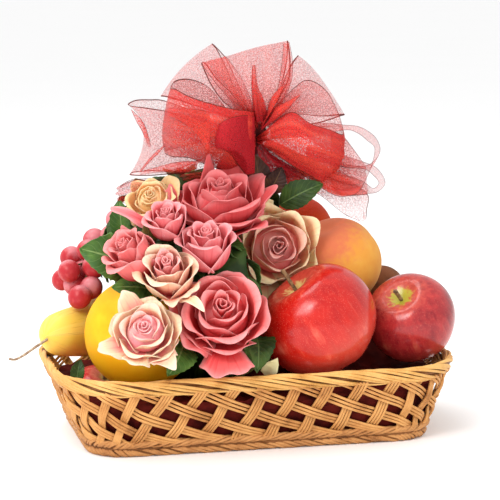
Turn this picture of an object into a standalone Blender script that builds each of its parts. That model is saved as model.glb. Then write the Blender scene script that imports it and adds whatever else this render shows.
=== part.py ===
"""Fruit gift basket: a shallow rattan basket filled with fruit, silk roses and a sheer ribbon bow.

Metres, +Z up. The origin is the middle of the basket's underside. The length runs along X,
and the front, where the roses are, faces -Y.
"""

import math
from dataclasses import dataclass

import bmesh
import bpy
from mathutils import Matrix, Vector, noise

# Basket
RIM_LENGTH = 0.309
RIM_WIDTH = 0.192
RIM_CORNER = 0.061
BASE_LENGTH = 0.260
BASE_WIDTH = 0.145
BASE_CORNER = 0.029
BASKET_HEIGHT = 0.0605
RIM_BAND_HEIGHT = 0.0125
FOOT_BAND_HEIGHT = 0.013
BAND_DEPTH = 0.007
LATTICE_PAIRS = 30
LATTICE_ROWS = 3
STRAND_GROUP_WIDTH = 0.0095
STRAND_THICKNESS = 0.0032
FLOOR_THICKNESS = 0.003

# Filling
FILLER_LEVEL = 0.040
FILLER_INSET = 0.0055
GRAPE_RADIUS = 0.0090
LEAF_THICKNESS = 0.0012
RIBBON_THICKNESS = 0.0012
KNOT_RADIUS = 0.013

# Dome of stems and foliage that the roses stand on
CORE_CENTRE = Vector((-0.030, 0.008, 0.119))
CORE_REACH = Vector((0.071, 0.063, 0.086))
CORE_SWELL = 1.08
STEM_DEPTH = 0.005

# Clearances
GAP = 0.0003
WELD = 0.000004
BED_CLEARANCE = 0.0014
CORE_CLEARANCE = 0.0032


def clear_scene():
    """Remove what the scene starts with."""
    for item in list(bpy.data.objects):
        bpy.data.objects.remove(item, do_unlink=True)


def material(name, colour, roughness, metallic=0.0):
    """Principled material of one colour."""
    made = bpy.data.materials.new(name)
    made.use_nodes = True
    shader = made.node_tree.nodes["Principled BSDF"]
    shader.inputs["Base Color"].default_value = (*colour, 1.0)
    shader.inputs["Roughness"].default_value = roughness
    shader.inputs["Metallic"].default_value = metallic
    return made


def finish_object(name, bm, finish, smooth=True):
    """Turn a bmesh into a named, shaded object."""
    bmesh.ops.recalc_face_normals(bm, faces=bm.faces)
    mesh = bpy.data.meshes.new(name)
    bm.to_mesh(mesh)
    bm.free()
    mesh.materials.append(finish)
    item = bpy.data.objects.new(name, mesh)
    bpy.context.collection.objects.link(item)
    if smooth:
        mesh.shade_smooth()
        mesh.set_sharp_from_angle(angle=math.radians(50))
    return item


def apply_boolean(item, operation, solver, operand=None, collection=None):
    """Run one Boolean on an object and apply it."""
    cut = item.modifiers.new("join", "BOOLEAN")
    cut.operation = operation
    cut.solver = solver
    if collection is None:
        cut.object = operand
    else:
        cut.operand_type = "COLLECTION"
        cut.collection = collection
    bpy.context.view_layer.objects.active = item
    bpy.ops.object.modifier_apply(modifier=cut.name)


def remove_objects(items):
    """Delete objects that were only needed for a Boolean."""
    for item in items:
        bpy.data.objects.remove(item, do_unlink=True)


def fuse(item, pieces):
    """Union the pieces into the object, then remove them."""
    group = bpy.data.collections.new("pieces")
    bpy.context.scene.collection.children.link(group)
    for piece in pieces:
        bpy.context.collection.objects.unlink(piece)
        group.objects.link(piece)
    bpy.context.view_layer.update()
    apply_boolean(item, "UNION", "MANIFOLD", collection=group)
    remove_objects(pieces)
    bpy.data.collections.remove(group)


def cut_out(item, cutters):
    """Subtract the cutters from the object, then remove them."""
    for cutter in cutters:
        bpy.context.view_layer.update()
        apply_boolean(item, "DIFFERENCE", "MANIFOLD", operand=cutter)
    remove_objects(cutters)
    keep_main_body(item)


def signed_volume(faces):
    """Volume inside a set of faces, negative where they enclose a hollow."""
    total = 0.0
    for face in faces:
        first = face.verts[0].co
        for second, third in zip(face.verts[1:], face.verts[2:]):
            total += first.dot(second.co.cross(third.co)) / 6.0
    return total


def keep_main_body(item):
    """Drop loose scraps and fill sealed hollows: only the largest closed shell stays."""
    bm = bmesh.new()
    bm.from_mesh(item.data)
    shells = []
    seen = set()
    for start in bm.faces:
        if start in seen:
            continue
        seen.add(start)
        shell = [start]
        for face in shell:
            for edge in face.edges:
                for other in edge.link_faces:
                    if other not in seen:
                        seen.add(other)
                        shell.append(other)
        shells.append(shell)
    shells.sort(key=signed_volume, reverse=True)
    for shell in shells[1:]:
        bmesh.ops.delete(bm, geom=shell, context="FACES")
    bmesh.ops.remove_doubles(bm, verts=bm.verts, dist=WELD)
    bmesh.ops.dissolve_degenerate(bm, edges=bm.edges, dist=WELD)
    bm.to_mesh(item.data)
    bm.free()


def triangulate(item):
    """Split every face into triangles, so that no two faces take the same diagonal."""
    for method in ("BEAUTY", "EAR_CLIP"):
        bm = bmesh.new()
        bm.from_mesh(item.data)
        bmesh.ops.triangulate(bm, faces=bm.faces, ngon_method=method)
        closed = all(edge.is_manifold for edge in bm.edges)
        if closed:
            bm.to_mesh(item.data)
        bm.free()
        if closed:
            return
    raise RuntimeError(f"{item.name} is not closed")


def place(bm, centre, axis, turn=0.0):
    """Turn a bmesh made along +Z to the axis, and move it to the centre."""
    tilt = Vector((0, 0, 1)).rotation_difference(Vector(axis).normalized()).to_matrix().to_4x4()
    spin = Matrix.Rotation(math.radians(turn), 4, "Z")
    bmesh.ops.transform(bm, matrix=Matrix.Translation(centre) @ tilt @ spin, verts=bm.verts)


def ring_frame(tangent, hint):
    """Two unit vectors square to a tangent, the first one nearest to the hint."""
    side = (hint - tangent * hint.dot(tangent)).normalized()
    return side, tangent.cross(side)


def tube(bm, points, radii, sides):
    """Closed round tube through points, with a radius at each and flat ends."""
    rings = []
    hint = Vector((0.3, 0.2, 1.0))
    for index, point in enumerate(points):
        before = points[max(index - 1, 0)]
        after = points[min(index + 1, len(points) - 1)]
        side, up = ring_frame((after - before).normalized(), hint)
        ring = []
        for step in range(sides):
            angle = math.tau * step / sides
            ring.append(bm.verts.new(point + (side * math.cos(angle) + up * math.sin(angle)) * radii[index]))
        rings.append(ring)
    for low, high in zip(rings, rings[1:]):
        for step in range(sides):
            after = (step + 1) % sides
            bm.faces.new((low[step], low[after], high[after], high[step]))
    bm.faces.new(list(reversed(rings[0])))
    bm.faces.new(rings[-1])


def stem(name, points, start_radius, end_radius, finish, sides=6):
    """Tapered stem through points."""
    bm = bmesh.new()
    spread = [start_radius + (end_radius - start_radius) * step / (len(points) - 1) for step in range(len(points))]
    tube(bm, [Vector(point) for point in points], spread, sides)
    return finish_object(name, bm, finish)


# Rounded rectangle of the basket

def ring_point(length, width, corner, where):
    """Point and outward normal of a rounded rectangle. `where` runs from 0 to 8 over sides and corners."""
    half_x, half_y = length / 2 - corner, width / 2 - corner
    part = int(where) % 8
    along = where - int(where)
    quarter = part // 2
    corners = ((half_x, -half_y), (half_x, half_y), (-half_x, half_y), (-half_x, -half_y))
    normals = ((0, -1), (1, 0), (0, 1), (-1, 0))
    if part % 2:
        middle = Vector(corners[quarter])
        angle = math.radians(-90 + 90 * (quarter + along))
        normal = Vector((math.cos(angle), math.sin(angle)))
        return middle + normal * corner, normal
    start, end = Vector(corners[quarter - 1]), Vector(corners[quarter])
    normal = Vector(normals[quarter])
    return start.lerp(end, along) + normal * corner, normal


def where_at(fraction):
    """Side-and-corner position after a fraction of the way round the rim."""
    side_x = RIM_LENGTH - 2 * RIM_CORNER
    side_y = RIM_WIDTH - 2 * RIM_CORNER
    arc = math.pi * RIM_CORNER / 2
    lengths = (side_x, arc, side_y, arc) * 2
    run = (fraction % 1.0) * sum(lengths)
    for index, part in enumerate(lengths):
        if run < part:
            return index + run / part
        run -= part
    return 0.0


def wall_point(fraction, height, outward):
    """Point of the sloping wall at a height, `outward` from its outer face."""
    rise = height / BASKET_HEIGHT
    length = BASE_LENGTH + (RIM_LENGTH - BASE_LENGTH) * rise
    width = BASE_WIDTH + (RIM_WIDTH - BASE_WIDTH) * rise
    corner = BASE_CORNER + (RIM_CORNER - BASE_CORNER) * rise
    point, normal = ring_point(length, width, corner, where_at(fraction))
    flat = point + normal * outward
    return Vector((flat.x, flat.y, height))


# Basket pieces

def twisted_band(name, low, high, stations, sides, turns, finish):
    """Oval band round the basket whose edges wind round it like a rope's strands."""
    bm = bmesh.new()
    middle, half_height, half_depth = (low + high) / 2, (high - low) / 2, BAND_DEPTH / 2
    rings = []
    for station in range(stations):
        fraction = station / stations
        ring = []
        for side in range(sides):
            angle = math.tau * (side / sides + turns * fraction / sides)
            height = middle + half_height * math.sin(angle)
            ring.append(bm.verts.new(wall_point(fraction, height, half_depth * (math.cos(angle) - 1))))
        rings.append(ring)
    for station in range(stations):
        here, there = rings[station], rings[(station + 1) % stations]
        shift = turns if station == stations - 1 else 0
        for side in range(sides):
            after = (side + 1) % sides
            corners = (here[side], here[after], there[(after + shift) % sides], there[(side + shift) % sides])
            bm.faces.new(corners)
    return finish_object(name, bm, finish)


def basket_lattice(finish):
    """Open wall of strand groups that lean both ways: a net with diamond openings between its crossings."""
    low, high = FOOT_BAND_HEIGHT + GAP, BASKET_HEIGHT - RIM_BAND_HEIGHT - GAP
    perimeter = 2 * (RIM_LENGTH + RIM_WIDTH) - (8 - math.tau) * RIM_CORNER
    half = STRAND_GROUP_WIDTH / 2 / perimeter
    rise = half * 2 * LATTICE_PAIRS / LATTICE_ROWS
    bm = bmesh.new()
    made = {}

    def corner(column, row, way, layer):
        """One of a crossing's four corners, on the outer (0) or inner (1) face."""
        key = (round(2 * column) % (2 * LATTICE_PAIRS), row, way, layer)
        if key not in made:
            across, up = {"left": (-1, 0), "right": (1, 0), "top": (0, 1), "bottom": (0, -1)}[way]
            height = low + (high - low) * (row / LATTICE_ROWS + up * rise)
            fraction = column / LATTICE_PAIRS + across * half
            made[key] = bm.verts.new(wall_point(fraction, height, -STRAND_THICKNESS * (0.2 + 1.3 * layer)))
        return made[key]

    def panel(corners, walls):
        """Outer and inner face over the same corners, and a wall along each named side."""
        outer = [corner(*place, 0) for place in corners]
        inner = [corner(*place, 1) for place in corners]
        bm.faces.new(outer)
        bm.faces.new(list(reversed(inner)))
        for side in walls:
            after = (side + 1) % len(corners)
            bm.faces.new((outer[side], inner[side], inner[after], outer[after]))

    for index in range(LATTICE_PAIRS):
        for row in range(LATTICE_ROWS + 1):
            column = index + row / 2
            left, right = (column, row, "left"), (column, row, "right")
            top, bottom = (column, row, "top"), (column, row, "bottom")
            if row == 0:
                panel((left, right, top), (0,))
            elif row == LATTICE_ROWS:
                panel((left, bottom, right), (2,))
            else:
                panel((left, bottom, right, top), ())
            if row < LATTICE_ROWS:
                leaning_right, leaning_left = column + 0.5, column - 0.5
                panel((right, (leaning_right, row + 1, "bottom"), (leaning_right, row + 1, "left"), top), (0, 2))
                panel((top, (leaning_left, row + 1, "right"), (leaning_left, row + 1, "bottom"), left), (0, 2))
    return finish_object("basket_lattice", bm, finish, smooth=False)


def basket_floor(finish):
    """Flat base plate inside the foot, level with its underside."""
    bm = bmesh.new()
    count = 32
    outline = []
    for index in range(count):
        edge = wall_point(index / count, 0.0, -BAND_DEPTH - GAP)
        outline.append(bm.verts.new(edge))
    face = bm.faces.new(outline)
    lifted = bmesh.ops.extrude_face_region(bm, geom=[face])
    raised = [part for part in lifted["geom"] if isinstance(part, bmesh.types.BMVert)]
    bmesh.ops.translate(bm, verts=raised, vec=(0, 0, FLOOR_THICKNESS))
    return finish_object("basket_floor", bm, finish, smooth=False)


# Keep-out balls of everything that lies in the basket: (centre, radius)
BALLS = {}


def remember(name, centre, radius):
    """Note the ball that holds a piece, for the packing that is shaped round it."""
    BALLS[name] = (Vector(centre), radius)


def mound_level(x, y):
    """Height of the crumpled paper bed before the fruit presses into it."""
    level = FILLER_LEVEL
    swells = ((0.070, 0.056, 0.040, 0.062), (0.012, 0.030, 0.055, 0.050), (0.118, 0.046, 0.026, 0.030))
    for centre_x, centre_y, spread, rise in swells:
        away = ((x - centre_x) ** 2 + (y - centre_y) ** 2) / spread ** 2
        level += rise * math.exp(-away)
    return level + 0.0035 * noise.noise(Vector((x, y, 0.0)) * 55.0)


def core_underside(x, y):
    """Lowest height of the foliage dome above a place on the bed, or a great height clear of it."""
    reach = CORE_REACH * CORE_SWELL
    away = ((x - CORE_CENTRE.x) / reach.x) ** 2 + ((y - CORE_CENTRE.y) / reach.y) ** 2
    if away >= 1.0:
        return 1.0
    return CORE_CENTRE.z - reach.z * math.sqrt(1.0 - away) - BED_CLEARANCE


def filler_bed(finish):
    """Crumpled paper that fills the basket and carries every fruit in a hollow of its own."""
    bm = bmesh.new()
    segments, rings = 30, 6
    floor_level = FLOOR_THICKNESS + GAP
    middle = Vector((0.02, 0.01))
    raised = [ball for ball in BALLS.values() if ball[0].z > FILLER_LEVEL]

    def level(x, y, edge):
        height = mound_level(x, y) if edge < 1.0 else FILLER_LEVEL
        for centre, radius in raised:
            away = (x - centre.x) ** 2 + (y - centre.y) ** 2
            reach = radius + BED_CLEARANCE
            if away < reach ** 2 and centre.z - reach < height:
                height = min(height, centre.z - math.sqrt(reach ** 2 - away))
        return min(height, core_underside(x, y))

    top = []
    for ring in range(1, rings + 1):
        row = []
        for segment in range(segments):
            fraction = segment / segments
            edge = wall_point(fraction, FILLER_LEVEL, -FILLER_INSET)
            flat = middle.lerp(Vector((edge.x, edge.y)), ring / rings)
            row.append(bm.verts.new((flat.x, flat.y, level(flat.x, flat.y, ring / rings))))
        top.append(row)
    peak = bm.verts.new((middle.x, middle.y, level(middle.x, middle.y, 0.0)))
    bottom = []
    for segment in range(segments):
        bottom.append(bm.verts.new(wall_point(segment / segments, floor_level, -BAND_DEPTH - 2 * GAP)))
    for segment in range(segments):
        after = (segment + 1) % segments
        bm.faces.new((peak, top[0][segment], top[0][after]))
        for inner, outer in zip(top, top[1:]):
            bm.faces.new((inner[segment], outer[segment], outer[after], inner[after]))
        bm.faces.new((top[-1][segment], bottom[segment], bottom[after], top[-1][after]))
    bm.faces.new(list(reversed(bottom)))
    bed = finish_object("filler_bed", bm, finish)
    carve(bed, *BALLS["apple_small"], fineness=2)
    return bed


# Fruit

def round_fruit(name, centre, axis, radius, shape, finish, segments=18, rings=11, stretch=1.0, turn=0.0):
    """Ball whose radius follows `shape(polar, round)`, stretched along its own axis."""
    bm = bmesh.new()
    bmesh.ops.create_uvsphere(bm, u_segments=segments, v_segments=rings, radius=1.0)
    for vert in bm.verts:
        way = vert.co.normalized()
        polar = math.acos(max(-1.0, min(1.0, way.z)))
        vert.co = way * radius * shape(polar, math.atan2(way.y, way.x))
        vert.co.z *= stretch
    place(bm, centre, axis, turn)
    remember(name, centre, radius * max(1.0, stretch))
    return finish_object(name, bm, finish)


def apple_shape(polar, around):
    """Apple: a hollow at the stem, a shallow one below, broad shoulders and five soft lobes."""
    hollow = 0.34 * math.exp(-((polar / 0.40) ** 2))
    blossom = 0.14 * math.exp(-(((math.pi - polar) / 0.34) ** 2))
    lobes = 0.016 * math.cos(5 * around) * (1 - math.cos(polar)) / 2
    shoulder = 0.015 * math.exp(-(((polar - 0.95) / 0.5) ** 2))
    return 0.985 - hollow - blossom + lobes + shoulder


def peach_shape(polar, around):
    """Peach: round, with one seam that runs from the stem hollow down one side."""
    hollow = 0.14 * math.exp(-((polar / 0.30) ** 2))
    seam = 0.035 * math.exp(-((around / 0.22) ** 2)) * math.sin(polar)
    return 1.0 - hollow - seam


def mango_shape(polar, around):
    """Mango: smooth and round, a little fuller on one side."""
    return 0.985 + 0.015 * math.cos(around) * math.sin(polar)


def orange_shape(polar, around):
    """Orange: round, slightly flattened at the stem."""
    return 1.0 - 0.05 * math.exp(-((polar / 0.35) ** 2)) - 0.02 * math.exp(-(((math.pi - polar) / 0.35) ** 2))


def kiwi_shape(polar, around):
    """Kiwi: an even oval."""
    return 1.0


def apple(name, centre, axis, radius, finishes, stem_lean, segments=16, rings=10, stem_length=0.017):
    """Apple with its stem standing in the hollow."""
    body = round_fruit(name, centre, axis, radius, apple_shape, finishes["apple"], segments, rings, 0.97)
    up = Vector(axis).normalized()
    foot = Vector(centre) + up * radius * 0.55
    tip = foot + (up + Vector(stem_lean)).normalized() * (stem_length + radius * 0.05)
    middle = foot.lerp(tip, 0.5) + up * radius * 0.03
    stalk = stem("stalk", (foot, middle, tip), 0.0012, 0.0017, finishes["stalk"])
    fuse(body, [stalk])
    return body


def pear(finishes):
    """Pear that lies with its neck over the left end of the rim and its stalk out in front."""
    neck_end = Vector((-0.1525, 0.0005, 0.0778))
    bulb_end = Vector((-0.0720, 0.0720, 0.0720))
    profile = ((0.00, 0.007), (0.03, 0.0140), (0.09, 0.0168), (0.20, 0.0182), (0.34, 0.0203), (0.49, 0.0238),
               (0.64, 0.0268), (0.78, 0.0262), (0.90, 0.0200), (0.97, 0.0120), (1.00, 0.005))
    points = []
    for along, radius in profile:
        point = neck_end.lerp(bulb_end, along)
        points.append(point)
        remember(f"pear_{along:.2f}", point, radius)
    bm = bmesh.new()
    tube(bm, points, [radius for _, radius in profile], 12)
    body = finish_object("pear", bm, finishes["pear"])
    route = ((-0.1500, 0.0010, 0.0760), (-0.1600, -0.0070, 0.0722), (-0.1700, -0.0110, 0.0668),
             (-0.1770, -0.0125, 0.0640), (-0.1815, -0.0130, 0.0650))
    stalk = stem("stalk", route, 0.0013, 0.0011, finishes["stalk"])
    fuse(body, [stalk])
    return body


def grapes(finishes):
    """Bunch of red grapes: the grapes that show, fused round a core."""
    core_line = (Vector((-0.0910, 0.0520, 0.1460)), Vector((-0.1070, 0.0450, 0.1250)), Vector((-0.1180, 0.0330, 0.1120)))
    radii = (0.0090, 0.0150, 0.0070)
    bm = bmesh.new()
    tube(bm, core_line, radii, 8)
    bunch = finish_object("grapes", bm, finishes["grape"])
    shown = (
        (-0.1298, 0.0290, 0.1217), (-0.1245, 0.0120, 0.1045), (-0.1150, 0.0350, 0.1366), (-0.1140, 0.0225, 0.1095),
        (-0.0950, 0.0420, 0.1455), (-0.0900, 0.0480, 0.1570), (-0.1110, 0.0270, 0.1250), (-0.1330, 0.0430, 0.1130),
        (-0.1250, 0.0520, 0.1290), (-0.1060, 0.0560, 0.1410), (-0.1120, 0.0590, 0.1200), (-0.1250, 0.0340, 0.1100),
    )
    balls = []
    for index, centre in enumerate(shown):
        grape = bmesh.new()
        bmesh.ops.create_uvsphere(grape, u_segments=6, v_segments=5, radius=GRAPE_RADIUS * (0.94 + 0.06 * math.sin(index * 2.3)))
        place(grape, centre, (math.sin(index), math.cos(index), 1.0))
        balls.append(finish_object("grape", grape, finishes["grape"]))
        remember(f"grape_{index}", centre, GRAPE_RADIUS)
    stalk_route = ((-0.0910, 0.0540, 0.1480), (-0.0870, 0.0600, 0.1590), (-0.0810, 0.0640, 0.1660))
    balls.append(stem("stalk", stalk_route, 0.0020, 0.0016, finishes["stalk"]))
    fuse(bunch, balls)
    keep_main_body(bunch)
    return bunch


# Roses

@dataclass
class Rose:
    """A silk rose: the ball that holds it, the way it faces and how far it has opened."""

    name: str
    centre: tuple
    facing: tuple
    radius: float
    openness: float
    turn: float
    finish: str


# Rings of a bloom from its heart to its calyx, as (radius, height) shares of the ball's radius:
# closed bud first, then full bloom. Crests and hollows alternate, which makes the layers of petals.
BUD_RINGS = ((0.10, 0.74), (0.17, 0.58), (0.32, 0.80), (0.38, 0.54), (0.54, 0.74), (0.62, 0.46), (0.72, 0.52),
             (0.78, 0.16), (0.80, 0.02), (0.70, -0.36), (0.46, -0.74), (0.16, -0.93))
BLOOM_RINGS = ((0.09, 0.40), (0.15, 0.24), (0.28, 0.48), (0.34, 0.24), (0.49, 0.46), (0.56, 0.14), (0.74, 0.36),
               (0.82, 0.00), (0.98, 0.10), (0.78, -0.28), (0.44, -0.62), (0.14, -0.86))
PETALS_OF_RING = (2, 2, 3, 3, 4, 4, 5, 5, 5, 5, 5, 5)


def rose(design, finishes):
    """Bloom as layered rings of petals that wind round its heart, closed at the back by the calyx."""
    segments = 12
    bm = bmesh.new()
    heart = bm.verts.new((0, 0, design.radius * (0.60 - 0.30 * design.openness)))
    calyx = bm.verts.new((0, 0, -design.radius * 0.95))
    rings = []
    for index, (closed, opened) in enumerate(zip(BUD_RINGS, BLOOM_RINGS)):
        spread = closed[0] + (opened[0] - closed[0]) * design.openness
        height = closed[1] + (opened[1] - closed[1]) * design.openness
        petals = PETALS_OF_RING[index]
        crest = index % 2 == 0 and index < 9
        ring = []
        for step in range(segments):
            angle = math.tau * step / segments
            lobe = math.cos(petals * angle + 1.7 * index + design.turn)
            swing = (0.05 if index < 6 else 0.09) * lobe if index < 9 else 0.02 * lobe
            lift = 0.05 * lobe if crest else 0.0
            if index == 8:
                lift = -0.10 * lobe * design.openness
            across = design.radius * min(spread * (1 + swing), 0.98)
            ring.append(bm.verts.new((across * math.cos(angle), across * math.sin(angle), design.radius * (height + lift))))
        rings.append(ring)
    for step in range(segments):
        after = (step + 1) % segments
        bm.faces.new((heart, rings[0][step], rings[0][after]))
        for inner, outer in zip(rings, rings[1:]):
            bm.faces.new((inner[step], outer[step], outer[after], inner[after]))
        bm.faces.new((calyx, rings[-1][after], rings[-1][step]))
    place(bm, design.centre, design.facing, math.degrees(design.turn))
    remember(design.name, design.centre, design.radius)
    return finish_object(design.name, bm, finishes[design.finish])


# Centres and radii of the blooms, and the way each faces
ROSES = (
    Rose("rose_top", (-0.0210, -0.0240, 0.1865), (0.10, -0.62, 0.78), 0.0370, 1.0, 0.4, "rose_deep"),
    Rose("rose_back_left", (-0.0760, -0.0060, 0.1840), (-0.45, -0.20, 0.85), 0.0210, 0.8, 1.1, "rose_cream"),
    Rose("rose_small", (-0.0620, -0.0520, 0.1715), (-0.25, -0.80, 0.50), 0.0195, 0.5, 2.0, "rose_pink"),
    Rose("rose_bud_left", (-0.0990, -0.0560, 0.1475), (-0.75, -0.60, 0.25), 0.0225, 0.1, 0.2, "rose_deep"),
    Rose("rose_blush", (-0.0690, -0.0730, 0.1345), (-0.20, -0.93, 0.30), 0.0235, 0.6, 2.6, "rose_cream"),
    Rose("rose_bud", (-0.0375, -0.0630, 0.1500), (0.00, -0.85, 0.45), 0.0220, 0.2, 0.9, "rose_pink"),
    Rose("rose_large", (-0.0330, -0.0850, 0.0985), (-0.02, -0.98, 0.12), 0.0345, 1.0, 1.5, "rose_deep"),
    Rose("rose_tan", (0.0235, -0.0130, 0.1425), (0.12, -0.93, 0.33), 0.0345, 1.0, 2.2, "rose_cream"),
    Rose("rose_peach", (-0.0920, -0.0985, 0.0945), (-0.18, -0.97, 0.12), 0.0315, 1.0, 0.7, "rose_cream"),
)


def planted_stem(head, neck, radius, finish):
    """Stem from inside a piece into the foliage dome, and the slightly wider socket that it stands in."""
    surface = core_surface((neck - CORE_CENTRE).normalized())
    inwards = (CORE_CENTRE - surface).normalized()
    end = surface + inwards * STEM_DEPTH
    stalk = stem("stalk", (head, neck, end), radius, radius, finish, sides=5)
    wide = radius + 2 * GAP
    socket = stem("socket", (head, neck, end + inwards * 2 * GAP), wide, wide, finish, sides=5)
    return stalk, socket


def rose_stem(design, finish):
    """Stem of a bloom, from its calyx into the dome."""
    facing = Vector(design.facing).normalized()
    calyx = Vector(design.centre) - facing * design.radius * 0.90
    return planted_stem(calyx + facing * design.radius * 0.25, calyx, 0.0021, finish)


# Leaves

def leaf(name, base, tip, face, width, finish, wave=0.06, stations=5):
    """Thin wavy leaf from base to tip, whose upper side looks towards `face`."""
    base, tip = Vector(base), Vector(tip)
    run = tip - base
    along = run.normalized()
    side, up = ring_frame(along, along.cross(Vector(face)))
    if up.dot(Vector(face)) < 0:
        up = -up
    bm = bmesh.new()
    layers = []
    for offset in (LEAF_THICKNESS / 2, -LEAF_THICKNESS / 2):
        rows = []
        for station in range(stations + 1):
            share = station / stations
            middle = base + run * share + up * run.length * (0.14 * math.sin(math.pi * share) + offset / run.length)
            half = width / 2 * math.sin(math.pi * share ** 0.8) ** 0.8 if 0 < station < stations else 0.0
            ripple = up * run.length * wave * math.sin(share * 9.0)
            if half == 0.0:
                rows.append([bm.verts.new(middle)])
            else:
                edge_lift = up * half * 0.25
                rows.append([
                    bm.verts.new(middle - side * half + edge_lift + ripple),
                    bm.verts.new(middle),
                    bm.verts.new(middle + side * half + edge_lift - ripple),
                ])
        layers.append(rows)
    top, under = layers
    for rows, flip in ((top, False), (under, True)):
        for here, there in zip(rows, rows[1:]):
            faces = []
            if len(here) == 1:
                faces = [(here[0], there[1], there[0]), (here[0], there[2], there[1])]
            elif len(there) == 1:
                faces = [(there[0], here[0], here[1]), (there[0], here[1], here[2])]
            else:
                for left in (0, 1):
                    faces.append((here[left], here[left + 1], there[left + 1]))
                    faces.append((here[left], there[left + 1], there[left]))
            for corners in faces:
                bm.faces.new(tuple(reversed(corners)) if flip else corners)
    for edge in (0, -1):
        for station in range(stations):
            corners = [top[station][edge], top[station + 1][edge], under[station + 1][edge], under[station][edge]]
            bm.faces.new(corners)
    return finish_object(name, bm, finish)


@dataclass
class Leaf:
    """A leaf from base to tip, the way its upper side looks, and its width."""

    name: str
    base: tuple
    tip: tuple
    face: tuple
    width: float


LEAVES = (
    Leaf("leaf_left", (-0.0900, -0.0300, 0.1330), (-0.1310, -0.0340, 0.1485), (-0.25, -0.90, 0.35), 0.036),
    Leaf("leaf_upper_left", (-0.0960, -0.0240, 0.1500), (-0.0985, -0.0200, 0.1810), (-0.40, -0.90, 0.10), 0.016),
    Leaf("leaf_under_bud", (-0.0800, -0.0480, 0.1180), (-0.1120, -0.0600, 0.1235), (-0.20, -0.90, 0.40), 0.020),
    Leaf("leaf_front", (-0.0610, -0.0650, 0.0800), (-0.0760, -0.0860, 0.0620), (0.15, -0.90, 0.35), 0.022),
    Leaf("leaf_below_rose", (-0.0050, -0.0560, 0.0820), (-0.0130, -0.0960, 0.0640), (0.10, -0.60, 0.75), 0.022),
    Leaf("leaf_right", (0.0300, 0.0090, 0.1700), (0.0610, -0.0020, 0.1870), (0.20, -0.85, 0.45), 0.021),
    Leaf("leaf_sepal", (-0.0810, -0.0380, 0.1500), (-0.0850, -0.0490, 0.1700), (0.00, -0.90, 0.40), 0.012),
    Leaf("leaf_under_pear", (-0.1340, -0.0300, 0.0460), (-0.1300, -0.0240, 0.0640), (-0.30, -0.90, 0.30), 0.010),
    Leaf("paper_corner", (-0.0020, -0.0720, 0.0560), (0.0060, -0.0800, 0.0700), (0.10, -0.90, 0.40), 0.012),
)
# Leaves round the back of the dome: heading and climb from its middle, in degrees
BACK_LEAVES = ((114, 34), (92, 4), (60, 28), (98, 60))


def back_leaf(index, finish):
    """Leaf that stands out from the back of the foliage dome and droops."""
    heading, climb = (math.radians(angle) for angle in BACK_LEAVES[index])
    way = Vector((math.cos(heading) * math.cos(climb), math.sin(heading) * math.cos(climb), math.sin(climb)))
    base = core_surface(way) + way * CORE_CLEARANCE
    down = (Vector((0, 0, -1)) + way * way.z).normalized()
    tip = base + way * 0.014 + down * 0.030 + Vector((0.004 * math.sin(index * 2.0), 0.0, 0.0))
    return leaf(f"leaf_back_{index + 1}", base, tip, way + Vector((0, 0, 0.3)), 0.026, finish)


def core_surface(way):
    """Point of the foliage dome in a direction from its centre."""
    length = 1.0 / math.sqrt(sum((way[axis] / CORE_REACH[axis]) ** 2 for axis in range(3)))
    length *= 1.0 + (CORE_SWELL - 1.0) * noise.noise(way * 3.1)
    for ball, radius in BALLS.values():
        offset = ball - CORE_CENTRE
        middle = offset.dot(way)
        miss = offset.length_squared - middle ** 2
        room = radius + CORE_CLEARANCE
        if middle > 0 and miss < room ** 2:
            length = min(length, middle - math.sqrt(room ** 2 - miss))
    return CORE_CENTRE + way * length


def foliage_core(finish):
    """Bound stems and foliage that hold the roses: a lumpy dome hollowed out for each bloom and fruit."""
    bm = bmesh.new()
    bmesh.ops.create_uvsphere(bm, u_segments=18, v_segments=11, radius=1.0)
    for vert in bm.verts:
        vert.co = core_surface(vert.co.normalized())
    bmesh.ops.triangulate(bm, faces=bm.faces)
    return finish_object("foliage_core", bm, finish)


# Ribbon bow

@dataclass
class Loop:
    """One loop of ribbon: heading and depth in degrees, how far it reaches, and how wide it opens."""

    heading: float
    depth: float
    roll: float
    reach: float
    width: float
    opening: float
    cupped: bool = False


KNOT = Vector((0.0150, 0.0180, 0.2235))
LOOPS = (
    Loop(175, -22, 12, 0.072, 0.062, 0.030, cupped=True),
    Loop(2, -24, -14, 0.066, 0.063, 0.030, cupped=True),
    Loop(103, -4, 0, 0.066, 0.063, 0.026, cupped=True),
    Loop(139, 20, 0, 0.074, 0.058, 0.024),
    Loop(40, 22, 0, 0.068, 0.058, 0.024),
    Loop(184, 12, 0, 0.098, 0.050, 0.022),
    Loop(-3, 14, 50, 0.090, 0.034, 0.026),
    Loop(-21, 4, 55, 0.094, 0.030, 0.024),
    Loop(-53, 10, 0, 0.045, 0.046, 0.022),
    Loop(5, 62, 80, 0.054, 0.056, 0.024),
    Loop(175, 60, -80, 0.056, 0.056, 0.024),
)


def loop_frame(design):
    """Unit vectors of a loop: outwards, across the ribbon, and through the opening."""
    heading, depth = math.radians(design.heading), math.radians(design.depth)
    out = Vector((math.cos(heading) * math.cos(depth), math.sin(depth), math.sin(heading) * math.cos(depth)))
    across = Vector((0, 1, 0)).cross(out).normalized()
    across.rotate(Matrix.Rotation(math.radians(design.roll), 3, out))
    return out, across, out.cross(across)


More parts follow.
